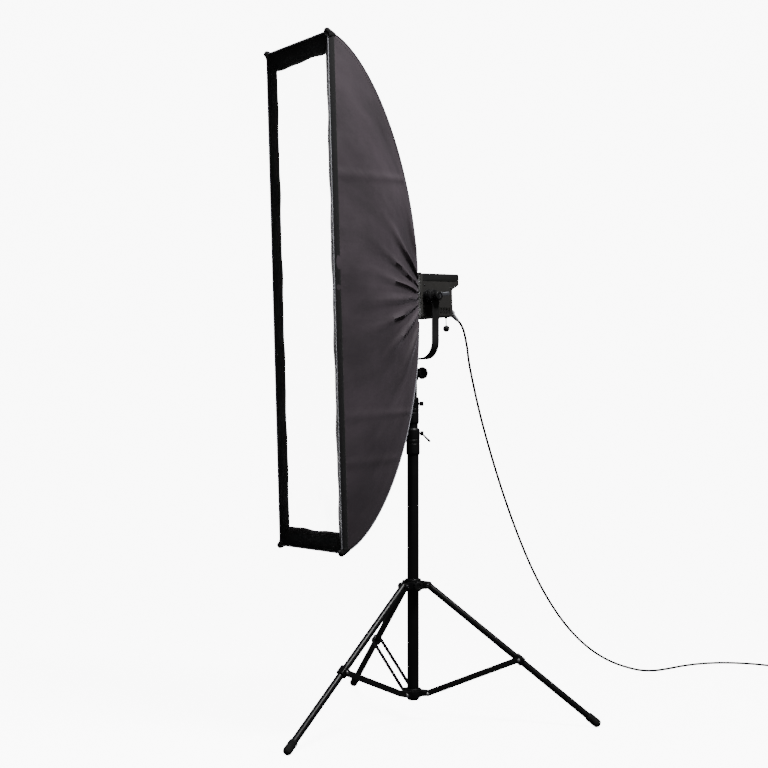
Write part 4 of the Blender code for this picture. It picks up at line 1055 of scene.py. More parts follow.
    def tube_along(self, part: np.ndarray, hint: np.ndarray) -> Shape:
        """The sheath round a stretch of the middle line."""
        radius = self.diameter / 2
        tangent = unit(np.gradient(part, axis=0))
        a = unit(np.cross(np.broadcast_to(hint, part.shape), tangent))
        b = np.cross(tangent, a)
        angle = np.linspace(0, math.tau, 14, endpoint=False)
        rings = part[:, None] + radius * (a[:, None] * np.cos(angle)[None, :, None]
                                          + b[:, None] * np.sin(angle)[None, :, None])
        return loft(rings[:, ::-1])

    def plug(self) -> bpy.types.Object:
        """A moulded two-pin plug with a grip waist and a ribbed strain relief."""
        body = lathe([(0.0045, -0.014), (0.0058, -0.012), (0.0062, -0.002), (0.0095, 0.004), (0.0155, 0.013),
                      (0.0165, 0.020), (0.0158, 0.028), (0.017, 0.036), (0.0165, 0.040)], 0.002, 56,
                     flutes=12, depth=0.06)
        for rib in range(4):
            body = body + lathe([(0.0052, -0.0115 + 0.003 * rib), (0.0066, -0.0108 + 0.003 * rib),
                                 (0.0066, -0.0098 + 0.003 * rib), (0.0052, -0.0092 + 0.003 * rib)], 0.0003,
                                32)
        pins = [lathe([(0.0023, 0.039), (0.0023, 0.057), (0.0015, 0.0588)], 0.0006, 24).moved(at((x, 0, 0)))
                for x in (-0.0095, 0.0095)]
        where = self.plug_frame()
        where[:3, 3] += where[:3, 2] * 0.014
        made = make("mains_plug_body", body.moved(where), KNOB_PLASTIC, "root", ["mains_plug"])
        make("mains_plug_pins", (pins[0] + pins[1]).moved(where), ZINC, "root")
        return made


def carved(made: bpy.types.Object, cutter: Shape) -> bpy.types.Object:
    """Takes a shape away from a piece, and leaves the piece a plain mesh."""
    mesh = bpy.data.meshes.new("cutter")
    mesh.from_pydata(cutter.points.tolist(), [], [f for faces in cutter.faces for f in faces.tolist()])
    bm = bmesh.new()
    bm.from_mesh(mesh)
    bmesh.ops.recalc_face_normals(bm, faces=bm.faces)
    bm.to_mesh(mesh)
    bm.free()
    tool = bpy.data.objects.new("cutter", mesh)
    bpy.context.scene.collection.objects.link(tool)
    boolean = made.modifiers.new("carve", "BOOLEAN")
    boolean.operation = "DIFFERENCE"
    boolean.object = tool
    bpy.context.view_layer.update()
    result = bpy.data.meshes.new_from_object(made.evaluated_get(bpy.context.evaluated_depsgraph_get()))
    made.modifiers.clear()
    made.data = result
    bpy.data.objects.remove(tool)
    result.shade_smooth()
    result.set_sharp_from_angle(angle=math.radians(30))
    return made


# ------------------------------------------------------------------ stand
@dataclass
class Stand:
    """The three-section column, its clamps and locks, and the three braced legs."""

    leg_azimuths: tuple[float, ...] = (-77.3, 42.7, 162.7)
    lock_azimuth: float = 45.7
    collar_lock_azimuth: float = -17.3
    footprint: float = 0.529
    foot_radius: float = 0.013
    leg_radius: float = 0.010
    ear: float = 0.004
    touch: float = 0.0003
    brace_share: float = 0.546
    brace_width: float = 0.014
    brace_bar: float = 0.003
    bracket: float = 0.0244
    bracket_length: float = 0.028
    lower_radius: float = 0.0175
    middle_radius: float = 0.015
    top_radius: float = 0.0125
    wall: float = 0.0015
    clamp_wall: float = 0.003
    collar_wall: float = 0.007
    stud: float = 0.003

    def pipe(self, node: str, radius: float, body: str) -> None:
        """One tube of the column, with softened ends."""
        low, high = PLACES.low(node)[2], PLACES.high(node)[2]
        shape = lathe([(radius, low), (radius, high), (radius - self.wall, high), (radius - self.wall, low)],
                      0.0006, 72, hollow=True)
        make(f"{node}_skin", shape.moved(at(PLACES.column())), BLACK_TUBE, body, [node])

    def clamp(self, node: str, lower: float, upper: float, body: str) -> None:
        """A clamp casting with chamfered ends and two turned grooves."""
        low, high = PLACES.low(node)[2], PLACES.high(node)[2]
        middle = (low + high) / 2
        radius = lower + self.clamp_wall
        edge, groove = 0.006, 0.0009
        line = [(radius - edge * 0.35, low), (radius, low + edge * 0.8)]
        for height in (middle - 0.006, middle + 0.006):
            line += [(radius, height - 0.0016), (radius - groove, height - 0.0008),
                     (radius - groove, height + 0.0008),
                     (radius, height + 0.0016)]
        line += [(radius, high - edge), (radius - edge * 0.6, high), (upper + self.touch, high),
                 (upper + self.touch, middle), (lower + self.touch, middle), (lower + self.touch, low)]
        shape = lathe(line, 0.0007, 72, hollow=True).moved(at(PLACES.column()))
        make(f"{node}_casting", shape, CASTING, body, [node])

    def column(self) -> None:
        """Tubes, clamps, cap and spigot."""
        self.pipe("lower_tube", self.lower_radius, "root")
        self.pipe("middle_tube", self.middle_radius, "middle_section")
        self.pipe("top_tube", self.top_radius, "top_section")
        self.clamp("lower_clamp", self.lower_radius, self.middle_radius, "root")
        self.clamp("upper_clamp", self.middle_radius, self.top_radius, "middle_section")
        low, high = PLACES.low("column_end_cap")[2], PLACES.high("column_end_cap")[2]
        plug = self.lower_radius - self.wall - self.touch
        cap = lathe([(0.004, low + 0.0015), (0.006, low), (self.lower_radius - 0.003, low),
                     (self.lower_radius, low + 0.0035), (self.lower_radius, low + 0.004), (plug, low + 0.004),
                     (plug, high)], 0.0008, 56)
        make("column_foot_cap", cap.moved(at(PLACES.column())), FOOT, "root", ["column_end_cap"])
        low, high = PLACES.low("spigot")[2], PLACES.high("spigot")[2]
        face, radius = PLACES.high("top_tube")[2] + self.touch, 0.008
        flange = face + 0.007
        length = high - flange
        bore = self.top_radius - self.wall - self.touch
        line = [(bore, low), (bore, face), (self.top_radius, face), (self.top_radius, flange),
                (radius, flange),
                (radius, flange + 0.30 * length), (radius * 0.82, flange + 0.36 * length),
                (radius * 0.82, flange + 0.64 * length), (radius, flange + 0.70 * length),
                (radius, high - 0.001),
                (radius - 0.001, high)]
        make("spigot_turned", lathe(line, 0.0005, 64).moved(at(PLACES.column())), SPIGOT_STEEL,
             "top_section", ["spigot"])

    def locks(self) -> None:
        """The collar's knob, the lower clamp's tommy lever and the upper clamp's knob."""
        out = level(self.collar_lock_azimuth)
        knob = lathe([(self.stud, 0.0), (self.stud, 0.010), (0.0085, 0.0102), (0.009, 0.0128),
                      (0.0135, 0.014),
                      (0.0144, 0.018), (0.0144, 0.025), (0.0125, 0.0288), (0.006, 0.0290), (0.0055, 0.0278)],
                     0.0009, 84, flutes=9, depth=0.13)
        start = PLACES.pivot("leg_lock_turn") + out * (self.lower_radius + self.touch)
        make("leg_lock_hand_knob", knob.moved(at(start, out)), KNOB_PLASTIC, "leg_lock", ["leg_lock_knob"])
        out = level(self.lock_azimuth)
        start = PLACES.pivot("lower_lock_turn") + out * (self.middle_radius + self.touch)
        boss = lathe([(self.stud, 0.0), (self.stud, 0.0062), (0.0062, 0.0065), (0.007, 0.0078),
                      (0.007, 0.0145),
                      (0.0058, 0.0160)], 0.0007, 48).moved(at(start, out))
        way = unit(out - UP)
        root = start + out * 0.0105
        arm = sweep([root + way * s for s in (0.0, 0.006, 0.020, 0.029, 0.0335, 0.0352)],
                    [0.0028, 0.0028, 0.0030, 0.0036, 0.0033, 0.0012],
                    [0.0028, 0.0028, 0.0030, 0.0036, 0.0033, 0.0012],
                    np.cross(way, level(self.lock_azimuth + 90)))
        make("lower_lock_tommy", boss + arm, CASTING, "lower_lock", ["lower_lock_lever"])
        start = PLACES.pivot("upper_lock_turn") + out * (self.top_radius + self.touch)
        knob = lathe([(self.stud, 0.0), (self.stud, 0.0062), (0.0058, 0.0064), (0.007, 0.0078),
                      (0.007, 0.016),
                      (0.0056, 0.0184)], 0.0007, 64, flutes=7, depth=0.14)
        make("upper_lock_hand_knob", knob.moved(at(start, out)), KNOB_PLASTIC, "upper_lock",
             ["upper_lock_knob"])

    def ring(self, height: float, length: float, bore: float) -> Shape:
        """The collar's or the hub's ring, with a raised band round its middle."""
        low, high, radius = height - length / 2, height + length / 2, bore + self.collar_wall
        band = 0.0008
        return lathe([(radius - 0.002, low), (radius - band, low + 0.002),
                      (radius - band, low + length * 0.22),
                      (radius, low + length * 0.28), (radius, high - length * 0.28),
                      (radius - band, high - length * 0.22), (radius - band, high - 0.002),
                      (radius - 0.002, high),
                      (bore, high), (bore, low)], 0.0008, 72, hollow=True).moved(at(PLACES.column()))

    def ear_plate(self, azimuth: float, height: float, half: float, low: float, high: float,
                  bore: float) -> Shape:
        """A lug that reaches out to a hinge pin: straight out of the ring, and round about the pin."""
        turn = np.radians(np.linspace(-75, 75, 12))
        out = np.linalg.norm(PLACES.pivot("leg_fold_1")[:2] - PLACES.column()[:2])
        nose = np.column_stack([out + half * np.cos(turn), half * np.sin(turn)])
        root = half * 1.25
        outline = np.vstack([[(bore + 0.003, -root)], nose, [(bore + 0.003, root)]])
        tangent = level(azimuth + 90)
        return slab(outline, low, high, 0.0009).moved(at(PLACES.column(height), -tangent, UP))

    def collar_and_hub(self) -> None:
        """The sliding collar with its three pairs of ears, the fixed hub with its lugs, and their screws."""
        collar_z = PLACES.pivot("leg_fold_1")[2]
        hub_z = PLACES.pivot("brace_fold_1")[2]
        bore = self.lower_radius + self.touch
        collar = self.ring(collar_z, PLACES.size("leg_collar")[2], bore)
        hub = self.ring(hub_z, PLACES.size("brace_hub")[2], bore)
        gap = self.leg_radius + self.touch
        out = np.linalg.norm(PLACES.pivot("leg_fold_1")[:2] - PLACES.column()[:2])
        screws = []
        for azimuth in self.leg_azimuths:
            for low in (gap, -gap - self.ear):
                collar = collar + self.ear_plate(azimuth, collar_z, 0.0098, low, low + self.ear, bore)
            hub = hub + self.ear_plate(azimuth, hub_z, 0.0072, -self.bracket / 2, self.bracket / 2, bore)
            tangent = level(azimuth + 90)
            for side in (1, -1):
                spot = PLACES.column() + level(azimuth) * out + tangent * side * (gap + self.ear)
                screws.append(screw_head(0.0052, 0.003).moved(at(spot + UP * collar_z, tangent * side)))
        boss = level(self.collar_lock_azimuth)
        start = PLACES.column(collar_z) + boss * (bore + self.collar_wall * 0.6)
        collar = collar + lathe([(0.0085, 0), (0.0078, 0.0048)], 0.0006, 40).moved(at(start, boss))
        make("leg_collar_casting", collar, CASTING, "collar", ["leg_collar"])
        make("brace_hub_casting", hub, CASTING, "root", ["brace_hub"])
        make("leg_hinge_screws", sum(screws[1:], screws[0]), DARK_SCREW, "collar")

    def leg(self, number: int, azimuth: float) -> None:
        """A leg with its brace bracket and rubber foot, and the two bars of its brace with their rivets."""
        hinge = PLACES.pivot(f"leg_fold_{number}")
        tip = PLACES.column(self.foot_radius) + level(azimuth) * self.footprint
        length = np.linalg.norm(tip - hinge)
        along = unit(tip - hinge)
        tangent = level(azimuth + 90)
        r = self.leg_radius
        frame_of_leg = at(hinge, along, tangent)
        stem = lathe([(0.001, -r), (r * 0.75, -r * 0.72), (r, -r * 0.1), (r, length - self.foot_radius)],
                     0.003, 56)
        pin = self.brace_share * length
        half = self.bracket / 2
        bracket = box_shape((2 * half, 2 * half, self.bracket_length), (0, 0, pin), 0.0016, 0.0055)
        make(f"leg_tube_{number}", (stem + bracket).moved(frame_of_leg), BLACK_TUBE, f"leg_{number}",
             [f"leg_{number}"])
        end, rim = length + self.foot_radius, length - self.foot_radius + 0.045
        foot_r = self.foot_radius
        line = [(r + 0.0003, rim - 0.062), (foot_r - 0.0008, rim - 0.062)]
        for rib in range(3):
            line += [(foot_r - 0.0008, rim - 0.058 + rib * 0.005), (foot_r, rim - 0.0568 + rib * 0.005),
                     (foot_r, rim - 0.0552 + rib * 0.005), (foot_r - 0.0008, rim - 0.054 + rib * 0.005)]
        line += [(foot_r, length - 0.002), (foot_r * 0.94, length + foot_r * 0.42),
                 (foot_r * 0.7, length + foot_r * 0.8),
                 (0.003, end)]
        make(f"leg_foot_{number}", lathe(line, 0.0016, 56).moved(frame_of_leg), FOOT, f"leg_{number}",
             [f"foot_{number}"])

        root = PLACES.pivot(f"brace_fold_{number}")
        far = hinge + along * pin
        way = unit(far - root)
        reach = np.linalg.norm(far - root)
        frame_of_brace = at(root, tangent, np.cross(tangent, way))
        side = half + self.touch
        flat = stadium(reach, self.brace_width)
        bars = slab(flat, side, side + self.brace_bar, 0.0006) + slab(flat, -side - self.brace_bar, -side,
                                                                      0.0006)
        make(f"brace_bars_{number}", bars.moved(frame_of_brace), BLACK_BAR, f"brace_{number}",
             [f"brace_{number}"])
        heads = None
        for x in (0.0, reach):
            for sign in (1, -1):
                spot = at((x, 0, sign * (side + self.brace_bar)), (0, 0, sign))
                head = lathe([(0.0046, 0), (0.0044, 0.0009), (0.003, 0.0021), (0.0008, 0.0025)], 0.0008,
                             28).moved(spot)
                heads = head if heads is None else heads + head
        make(f"brace_rivets_{number}", heads.moved(frame_of_brace), PALE_RIVET, f"brace_{number}")

    def build(self) -> None:
        """Makes the whole stand."""
        self.column()
        self.locks()
        self.collar_and_hub()
        for number, azimuth in enumerate(self.leg_azimuths, 1):
            self.leg(number, azimuth)


# ------------------------------------------------------------------ yoke
@dataclass
class Yoke:
    """The U of flat bar on its receiver, the lamp's pivots in it and the levers."""

    half_width: float = 0.103
    bar: float = 0.005
    width: float = 0.025
    corner: float = 0.0495
    drop: float = 0.181
    pivot_radius: float = 0.021
    head_half_width: float = 0.072
    stud: float = 0.005
    lever: float = 0.040

    def line(self) -> np.ndarray:
        """The U's middle line: an arm, a quarter circle, the base, a quarter circle and the other arm."""
        low = -self.drop + self.bar / 2
        turn = np.linspace(0, math.pi / 2, 20)
        inner = self.half_width - self.corner
        arc = np.column_stack([inner + self.corner * np.cos(turn),
                               low + self.corner - self.corner * np.sin(turn)])
        fine = np.linspace(0, 1, 14)[:, None] ** 2
        arm_top = np.array([[self.half_width, self.width / 2]])
        arm = arm_top + (arc[:1] - arm_top) * fine
        half = np.vstack([arm[:-1], arc])
        return np.vstack([half, half[::-1] * (-1, 1)])

    def build(self) -> None:
        """Makes the bar, receiver, knob, pivots and tilt lever."""
        flat = self.line()
        path = np.column_stack([flat[:, 0], np.zeros(len(flat)), flat[:, 1]])
        from_end = np.minimum(chain(path), chain(path)[-1] - chain(path))
        radius = self.width / 2
        half = np.where(from_end < radius,
                        np.sqrt(np.maximum(radius**2 - (radius - from_end) ** 2, 1e-7)), radius)
        shape = sweep(path, self.bar / 2, half, (0, 1, 0), 0.16, 40).moved(at(PLACES.pivot("head_tilt")))
        make("yoke_bar", shape, YOKE_PAINT, "yoke", ["yoke"])

        low, high = PLACES.low("stand_receiver")[2], PLACES.high("stand_receiver")[2]
        seat = PLACES.low("yoke")[2] - 0.0003
        inside, outer = 0.0083, 0.016
        rivet = PLACES.low("yoke")[2] + self.bar + 0.0003
        line = [(inside, low), (outer - 0.003, low), (outer, low + 0.003), (outer, low + 0.012),
                (outer - 0.0012, low + 0.0135), (outer - 0.0012, seat - 0.012), (outer, seat - 0.0105),
                (outer, seat - 0.001), (outer - 0.001, seat), (self.stud, seat), (self.stud, rivet),
                (0.0095, rivet),
                (0.0095, rivet + 0.004), (0.008, high), (0.0005, high), (0.0005, seat - 0.012),
                (inside, seat - 0.014)]
        make("receiver_body", lathe(line, 0.0006, 72, hollow=True).moved(at(PLACES.column())), BLACK_BAR,
             "yoke",
             ["stand_receiver"])
        start = PLACES.pivot("receiver_lock_turn") + (0.0083, 0, 0)
        knob = lathe([(0.003, 0), (0.003, 0.0082), (0.0078, 0.0085), (0.0082, 0.0225), (0.0125, 0.0262),
                      (0.0172, 0.0275), (0.018, 0.0305), (0.018, 0.0385), (0.0165, 0.0420), (0.0085, 0.0428),
                      (0.008, 0.0415)], 0.0012, 96, flutes=8, depth=0.12)
        make("receiver_hand_knob", knob.moved(at(start, (1, 0, 0))), KNOB_PLASTIC, "receiver_lock",
             ["receiver_knob"])
        self.pivots()

    def pivots(self) -> None:
        """Hubs with a knurled rim, their end screws, and the lever with its boss."""
        near = self.head_half_width + 0.0003
        face = self.half_width - self.bar / 2 - 0.0003
        outside = self.half_width + self.bar / 2
        tilt = PLACES.pivot("head_tilt")
        for side, name in ((1, "right"), (-1, "left")):
            line = [(self.pivot_radius + 0.002, near), (self.pivot_radius, near + 0.004),
                    (self.pivot_radius, face - 0.006), (self.pivot_radius - 0.0012, face - 0.005),
                    (self.pivot_radius - 0.0012, face - 0.003), (self.pivot_radius - 0.003, face),
                    (self.stud, face),
                    (self.stud, outside + 0.0042), (self.stud - 0.0006, outside + 0.0045)]
            hub = lathe(line, 0.0007, 120, flutes=30, depth=0.02).moved(at(tilt, (side, 0, 0)))
            make(f"pivot_rosette_{name}", hub, KNOB_PLASTIC, "head", [f"pivot_hub_{name}"])
        washer = lathe([(0.0125, outside + 0.0002), (0.0125, outside + 0.0016), (0.0055, outside + 0.0016),
                        (0.0055, outside + 0.0002)], 0.0003, 48, hollow=True)
        nut = lathe([(0.0088, outside + 0.0016), (0.0088, outside + 0.0062), (0.0055, outside + 0.0062),
                     (0.0055, outside + 0.0016)], 0.0004, 6, hollow=True)
        make("pivot_nut_left", (washer + nut).moved(at(tilt, (-1, 0, 0))), DARK_SCREW, "yoke")
        start = outside + 0.0003
        boss = lathe([(0.0053, start), (0.012, start), (0.0135, start + 0.002), (0.0135, start + 0.013),
                      (0.0115, start + 0.0165), (0.006, start + 0.017), (0.0055, start + 0.0155),
                      (0.0005, start + 0.0155),
                      (0.0005, start + 0.0052), (0.0053, start + 0.0052)], 0.0009, 64, hollow=True)
        reach = self.lever * np.array([0.0, 0.16, 0.40, 0.68, 0.88, 0.97, 1.0])
        droop = math.radians(6)
        path = np.column_stack([np.full(7, start + 0.0119), reach * math.cos(droop),
                                0.004 + reach * math.sin(droop)])
        arm = sweep(path, [0.0045, 0.004, 0.0036, 0.0038, 0.0042, 0.0036, 0.0012],
                    [0.0085, 0.007, 0.0056, 0.0056, 0.006, 0.005, 0.002], (0, 0, 1), 0.6, 32).moved(at(tilt))
        make("tilt_boss", boss.moved(at(tilt, (1, 0, 0))), KNOB_PLASTIC, "tilt_lock", ["tilt_lever"])
        make("tilt_hand_lever", arm, LEVER_ALLOY, "tilt_lock")


# ------------------------------------------------------------------ lamp head
@dataclass
class LampHead:
    """The LED lamp: casing with hood and vents, bezel, controls and mains end."""

    half_width: float = 0.072
    hood_reach: float = 0.026
    hood_depth: float = 0.032
    wall: float = 0.003
    cover: float = 0.024
    slot_pitch: float = 0.006
    slots: int = 7
    connector_slope: float = 40.0

    def __post_init__(self) -> None:
        """Reads the casing's corners in the lamp's frame."""
        self.where = PLACES.lamp()
        low, high = PLACES.in_lamp("housing")
        self.front, self.bottom, self.top = low[1], low[2], high[2]
        self.rear = high[1] - self.hood_reach
        self.panel_face = PLACES.in_lamp("rear_panel")[1][1]

    def put(self, name: str, shape: Shape, finish: Finish, nodes: Iterable[str] = (), body: str = "head",
            sharp: float = 38.0) -> bpy.types.Object:
        """Makes a piece given in the lamp's frame."""
        return make(name, shape.moved(self.where), finish, body, nodes, sharp=sharp)

    def outline(self, grow: float = 0.0) -> np.ndarray:
        """The side view, front to rear: a box with the hood's slope at the upper rear."""
        rear, top = self.rear + grow, self.top + grow
        hood, hood_low = self.rear + self.hood_reach + grow, self.top - self.hood_depth
        return np.array([(self.front, self.bottom - grow), (rear, self.bottom - grow),
                         (rear, hood_low - 0.014),
                         (hood, hood_low), (hood - 0.002, top), (self.front, top)])

    def casing(self) -> None:
        """The shell, open in front, with upright slots low on its sides and rows of slots in its top."""
        shell = slab(self.outline(), -self.half_width, self.half_width, 0.0028, 0.004).moved(ON_SIDE)
        made = self.put("lamp_casing", shell, CASING, ["housing"])
        depth, height = self.rear - self.front, self.top - self.bottom
        cavity = box_shape((2 * (self.half_width - self.wall), depth, height - 2 * self.wall),
                           (0, (self.front + self.rear) / 2 - self.wall, (self.top + self.bottom) / 2),
                           0.001, 0.003)
        across = 2 * self.half_width + 0.02
        for i in range(self.slots):
            slot = slab(stadium(0.0165, 0.0029, 6), -across / 2, across / 2, 0.0001)
            place = np.eye(4)
            place[:3, :3] = [[0, 0, 1], [0, 1, 0], [-1, 0, 0]]
            place[:3, 3] = (0, self.rear - 0.014 - self.slot_pitch * i, self.bottom + 0.0265)
            cavity = cavity + slot.moved(place)
        for i in range(self.slots - 1):
            slot = slab(stadium(0.056, 0.0029, 6), -0.01, 0.01, 0.0001)
            cavity = cavity + slot.moved(at((-0.028, self.rear - 0.020 - 2 * self.slot_pitch * i, self.top)))
        carved(made, cavity.moved(self.where))

        rim = self.outline(0.0007)
        skirt, front, hood = rim[:, 1].max() - self.cover, self.front + 0.004, rim[:, 0].max()
        edge = [(front, skirt), (self.rear + 0.004, skirt), (hood - 0.0002, skirt + 0.004),
                (hood - 0.0022, self.top + 0.0007), (front, self.top + 0.0007)]
        cover = slab(edge, -self.half_width - 0.0007, self.half_width + 0.0007, 0.0028, 0.004).moved(ON_SIDE)
        cover_made = self.put("lamp_top_cover", cover, TOP_COVER)
        hollow = box_shape((2 * self.half_width - 0.0008, 0.24, 0.08),
                           (0, (front + hood) / 2, self.top - 0.0402), 0.0008, 0.002)
        for i in range(self.slots - 1):
            slot = slab(stadium(0.056, 0.0029, 6), -0.01, 0.01, 0.0001)
            hollow = hollow + slot.moved(at((-0.028, self.rear - 0.020 - 2 * self.slot_pitch * i, self.top)))
        carved(cover_made, hollow.moved(self.where))

        screws = []
        for side in (1, -1):
            for y, z in ((self.front + 0.010, self.bottom + 0.008), (self.rear - 0.008, 0.028),
                         (self.front + 0.010, 0.034)):
                screws.append(screw_head(0.0028, 0.0011).moved(at((side * self.half_width, y, z), (side, 0,
                                                                                                   0))))
        self.put("casing_screws", sum(screws[1:], screws[0]), DARK_SCREW)

    def front_end(self) -> None:
        """The bezel with its round port, the bayonet ring and the release lever."""
        low, high = PLACES.in_lamp("front_bezel")
        size, centre = high - low, (low + high) / 2
        turned = np.eye(4)
        turned[:3, :3] = [[1, 0, 0], [0, 0, 1], [0, -1, 0]]
        turned[:3, 3] = centre
        plate = box_shape((size[0], size[2], size[1]), (0, 0, 0), 0.0018, 0.006).moved(turned)
        made = self.put("bezel_plate", plate, BEZEL, ["front_bezel"])
        port = 0.043
        hole = lathe([(port, -0.02), (port, 0.02)], 0.0001, 96).moved(at((0, centre[1], 0), (0, -1, 0)))
        carved(made, hole.moved(self.where))
        start, end = -PLACES.in_lamp("bayonet_ring")[1][1], -PLACES.in_lamp("bayonet_ring")[0][1]
        outer = 0.056
        ring = lathe([(outer - 0.001, end), (outer, end - 0.001), (outer, start + 0.0022),
                      (outer - 0.002, start + 0.0018),
                      (outer - 0.002, start + 0.0006), (outer, start), (port, start), (port, end)], 0.0004,
                     120,
                     hollow=True)
        self.put("bayonet_turned", ring.moved(at((0, 0, 0), (0, -1, 0))), ALLOY, ["bayonet_ring"])
        low, high = PLACES.in_lamp("release_lever")
        size, centre = high - low, (low + high) / 2
        lever = box_shape((size[0], size[1], size[2]), centre, 0.0012, 0.0018)
        for rib in range(4):
            lever = lever + box_shape((size[0] * 0.7, 0.0012, 0.001),
                                      (centre[0], low[1] + 0.0003, high[2] - 0.004 - rib * 0.0022),
                                      0.0003, 0.0004)
        self.put("release_thumb_lever", lever, KNOB_PLASTIC, ["release_lever"], "release")

    def rear_end(self) -> None:
        """The rear panel with its display, knobs, button, switch and plain marks."""
        low, high = PLACES.in_lamp("rear_panel")
        size, centre = high - low, (low + high) / 2
        upright = np.eye(4)
        upright[:3, :3] = [[1, 0, 0], [0, 0, 1], [0, -1, 0]]
        upright[:3, 3] = centre
        panel = box_shape((size[0], size[2], size[1]), (0, 0, 0), 0.0009, 0.003).moved(upright)
        made = self.put("rear_plate", panel, PANEL_PLASTIC, ["rear_panel"])
        cutters = None
        for node, grow in (("menu_button", 0.0005), ("power_switch", 0.0008)):
            inner_low, inner_high = PLACES.in_lamp(node)
            middle, reach = (inner_low + inner_high) / 2, inner_high - inner_low
            if node == "menu_button":
                hole = lathe([(reach[0] / 2 + grow, -0.01), (reach[0] / 2 + grow, 0.01)], 0.0001, 48)
                hole = hole.moved(at(middle, (0, 1, 0)))
            else:
                hole = box_shape((reach[0] + 2 * grow, 0.02, reach[2] + 2 * grow), middle, 0.0002, 0.0004)
            cutters = hole if cutters is None else cutters + hole
        carved(made, cutters.moved(self.where))

        face = self.panel_face
        low, high = PLACES.in_lamp("display_window")
        size, centre = high - low, (low + high) / 2
        upright[:3, 3] = centre
        window = box_shape((size[0], size[2], size[1]), (0, 0, 0), 0.0003, 0.0025).moved(upright)
        self.put("display_glass", window, GLASS, ["display_window"])
        segments, height = None, high[1] + 0.00015
        for row, share in ((0.008, 0.8), (-0.0005, 0.55)):
            count = 12
            for i in range(count):
                if i / count > share:
                    break
                cell = box_shape((0.0022, 0.0003, 0.0045), (low[0] + 0.006 + i * 0.0034, height,
                                                            centre[2] + row - 0.003),
                                 0.0001, 0.0001)
                segments = cell if segments is None else segments + cell
        self.put("display_bars", segments, SEGMENT)

        marks = None
        for node, body, name in (("dimmer_knob", "dimmer", "dimmer_grip"),
                                 ("colour_knob", "colour", "colour_grip")):
            low, high = PLACES.in_lamp(node)
            middle, radius, length = (low + high) / 2, (high[0] - low[0]) / 2, high[1] - low[1]
            knob = lathe([(radius, 0), (radius, 0.0012), (radius * 0.9, 0.002),
                          (radius * 0.86, length - 0.0012),
                          (radius * 0.78, length), (radius * 0.5, length - 0.0004)], 0.0006, 144, flutes=24,
                         depth=0.09)
            pointer = box_shape((0.0009, 0.0006, radius * 0.45),
                                (middle[0], high[1], middle[2] + radius * 0.5),
                                0.0002, 0.0002)
            self.put(name, knob.moved(at((middle[0], low[1], middle[2]), (0, 1, 0))), KNOB_PLASTIC, [node],
                     body)
            self.put(f"{name}_line", pointer, MARKING, (), body)
            for turn in np.radians(np.arange(-130, 131, 26)):
                spot = (middle[0] + (radius + 0.0028) * math.sin(turn),
                        middle[2] + (radius + 0.0028) * math.cos(turn))
                mark = box_shape((0.0006, 0.0003, 0.0016), (0, 0, 0), 0.0001, 0.0001)
                mark = mark.moved(at((spot[0], face + 0.0001, spot[1]), (math.sin(turn), 0, math.cos(turn)),
                                     (0, 1, 0)))
                marks = mark if marks is None else marks + mark
        self.put("dial_marks", marks, MARKING)

        low, high = PLACES.in_lamp("menu_button")
        middle, radius = (low + high) / 2, (high[0] - low[0]) / 2
        button = lathe([(radius, low[1]), (radius, high[1] - 0.0006), (radius * 0.85, high[1]),
                        (radius * 0.3, high[1] - 0.0004)],
                       0.0004, 48)
        self.put("menu_cap", button.moved(at((middle[0], 0, middle[2]), (0, 1, 0))), GREY_PLASTIC,
                 ["menu_button"], "menu")
        axis = self.where[:3, :3].T @ (PLACES.pivot("power_rock") - self.where[:3, 3])
        turn = np.linspace(-1, 1, 17)
        profile = np.vstack([np.column_stack([turn * 0.0059, 0.0019 - 0.0012 * (1 - turn**2)]),
                             [(0.0059, -0.0025), (-0.0059, -0.0025)]])
        tip = math.radians(-7)
        rocker = slab(profile[::-1], -0.009, 0.009, 0.0005)
        lean = np.eye(4)
        lean[:3, :3] = np.array([[0, 0, 1], [math.sin(-tip), math.cos(tip), 0],
                                 [math.cos(tip), math.sin(tip), 0]])
        lean[:3, 3] = axis
        self.put("power_rocker", rocker.moved(lean), KNOB_PLASTIC, ["power_switch"], "power")
        frame_marks = box_shape((0.0228, 0.0008, 0.0012), (axis[0], face + 0.0002, axis[2] + 0.0086), 0.0003,
                                0.0003)
        frame_marks = frame_marks + box_shape((0.0228, 0.0008, 0.0012),
                                              (axis[0], face + 0.0002, axis[2] - 0.0086),
                                              0.0003, 0.0003)
        self.put("switch_surround", frame_marks, KNOB_PLASTIC)
        screws = [screw_head(0.0024, 0.0009).moved(at((x, face, z), (0, 1, 0)))
                  for x in (-0.061, 0.061) for z in (-0.049, 0.010)]
        self.put("rear_screws", sum(screws[1:], screws[0]), DARK_SCREW)

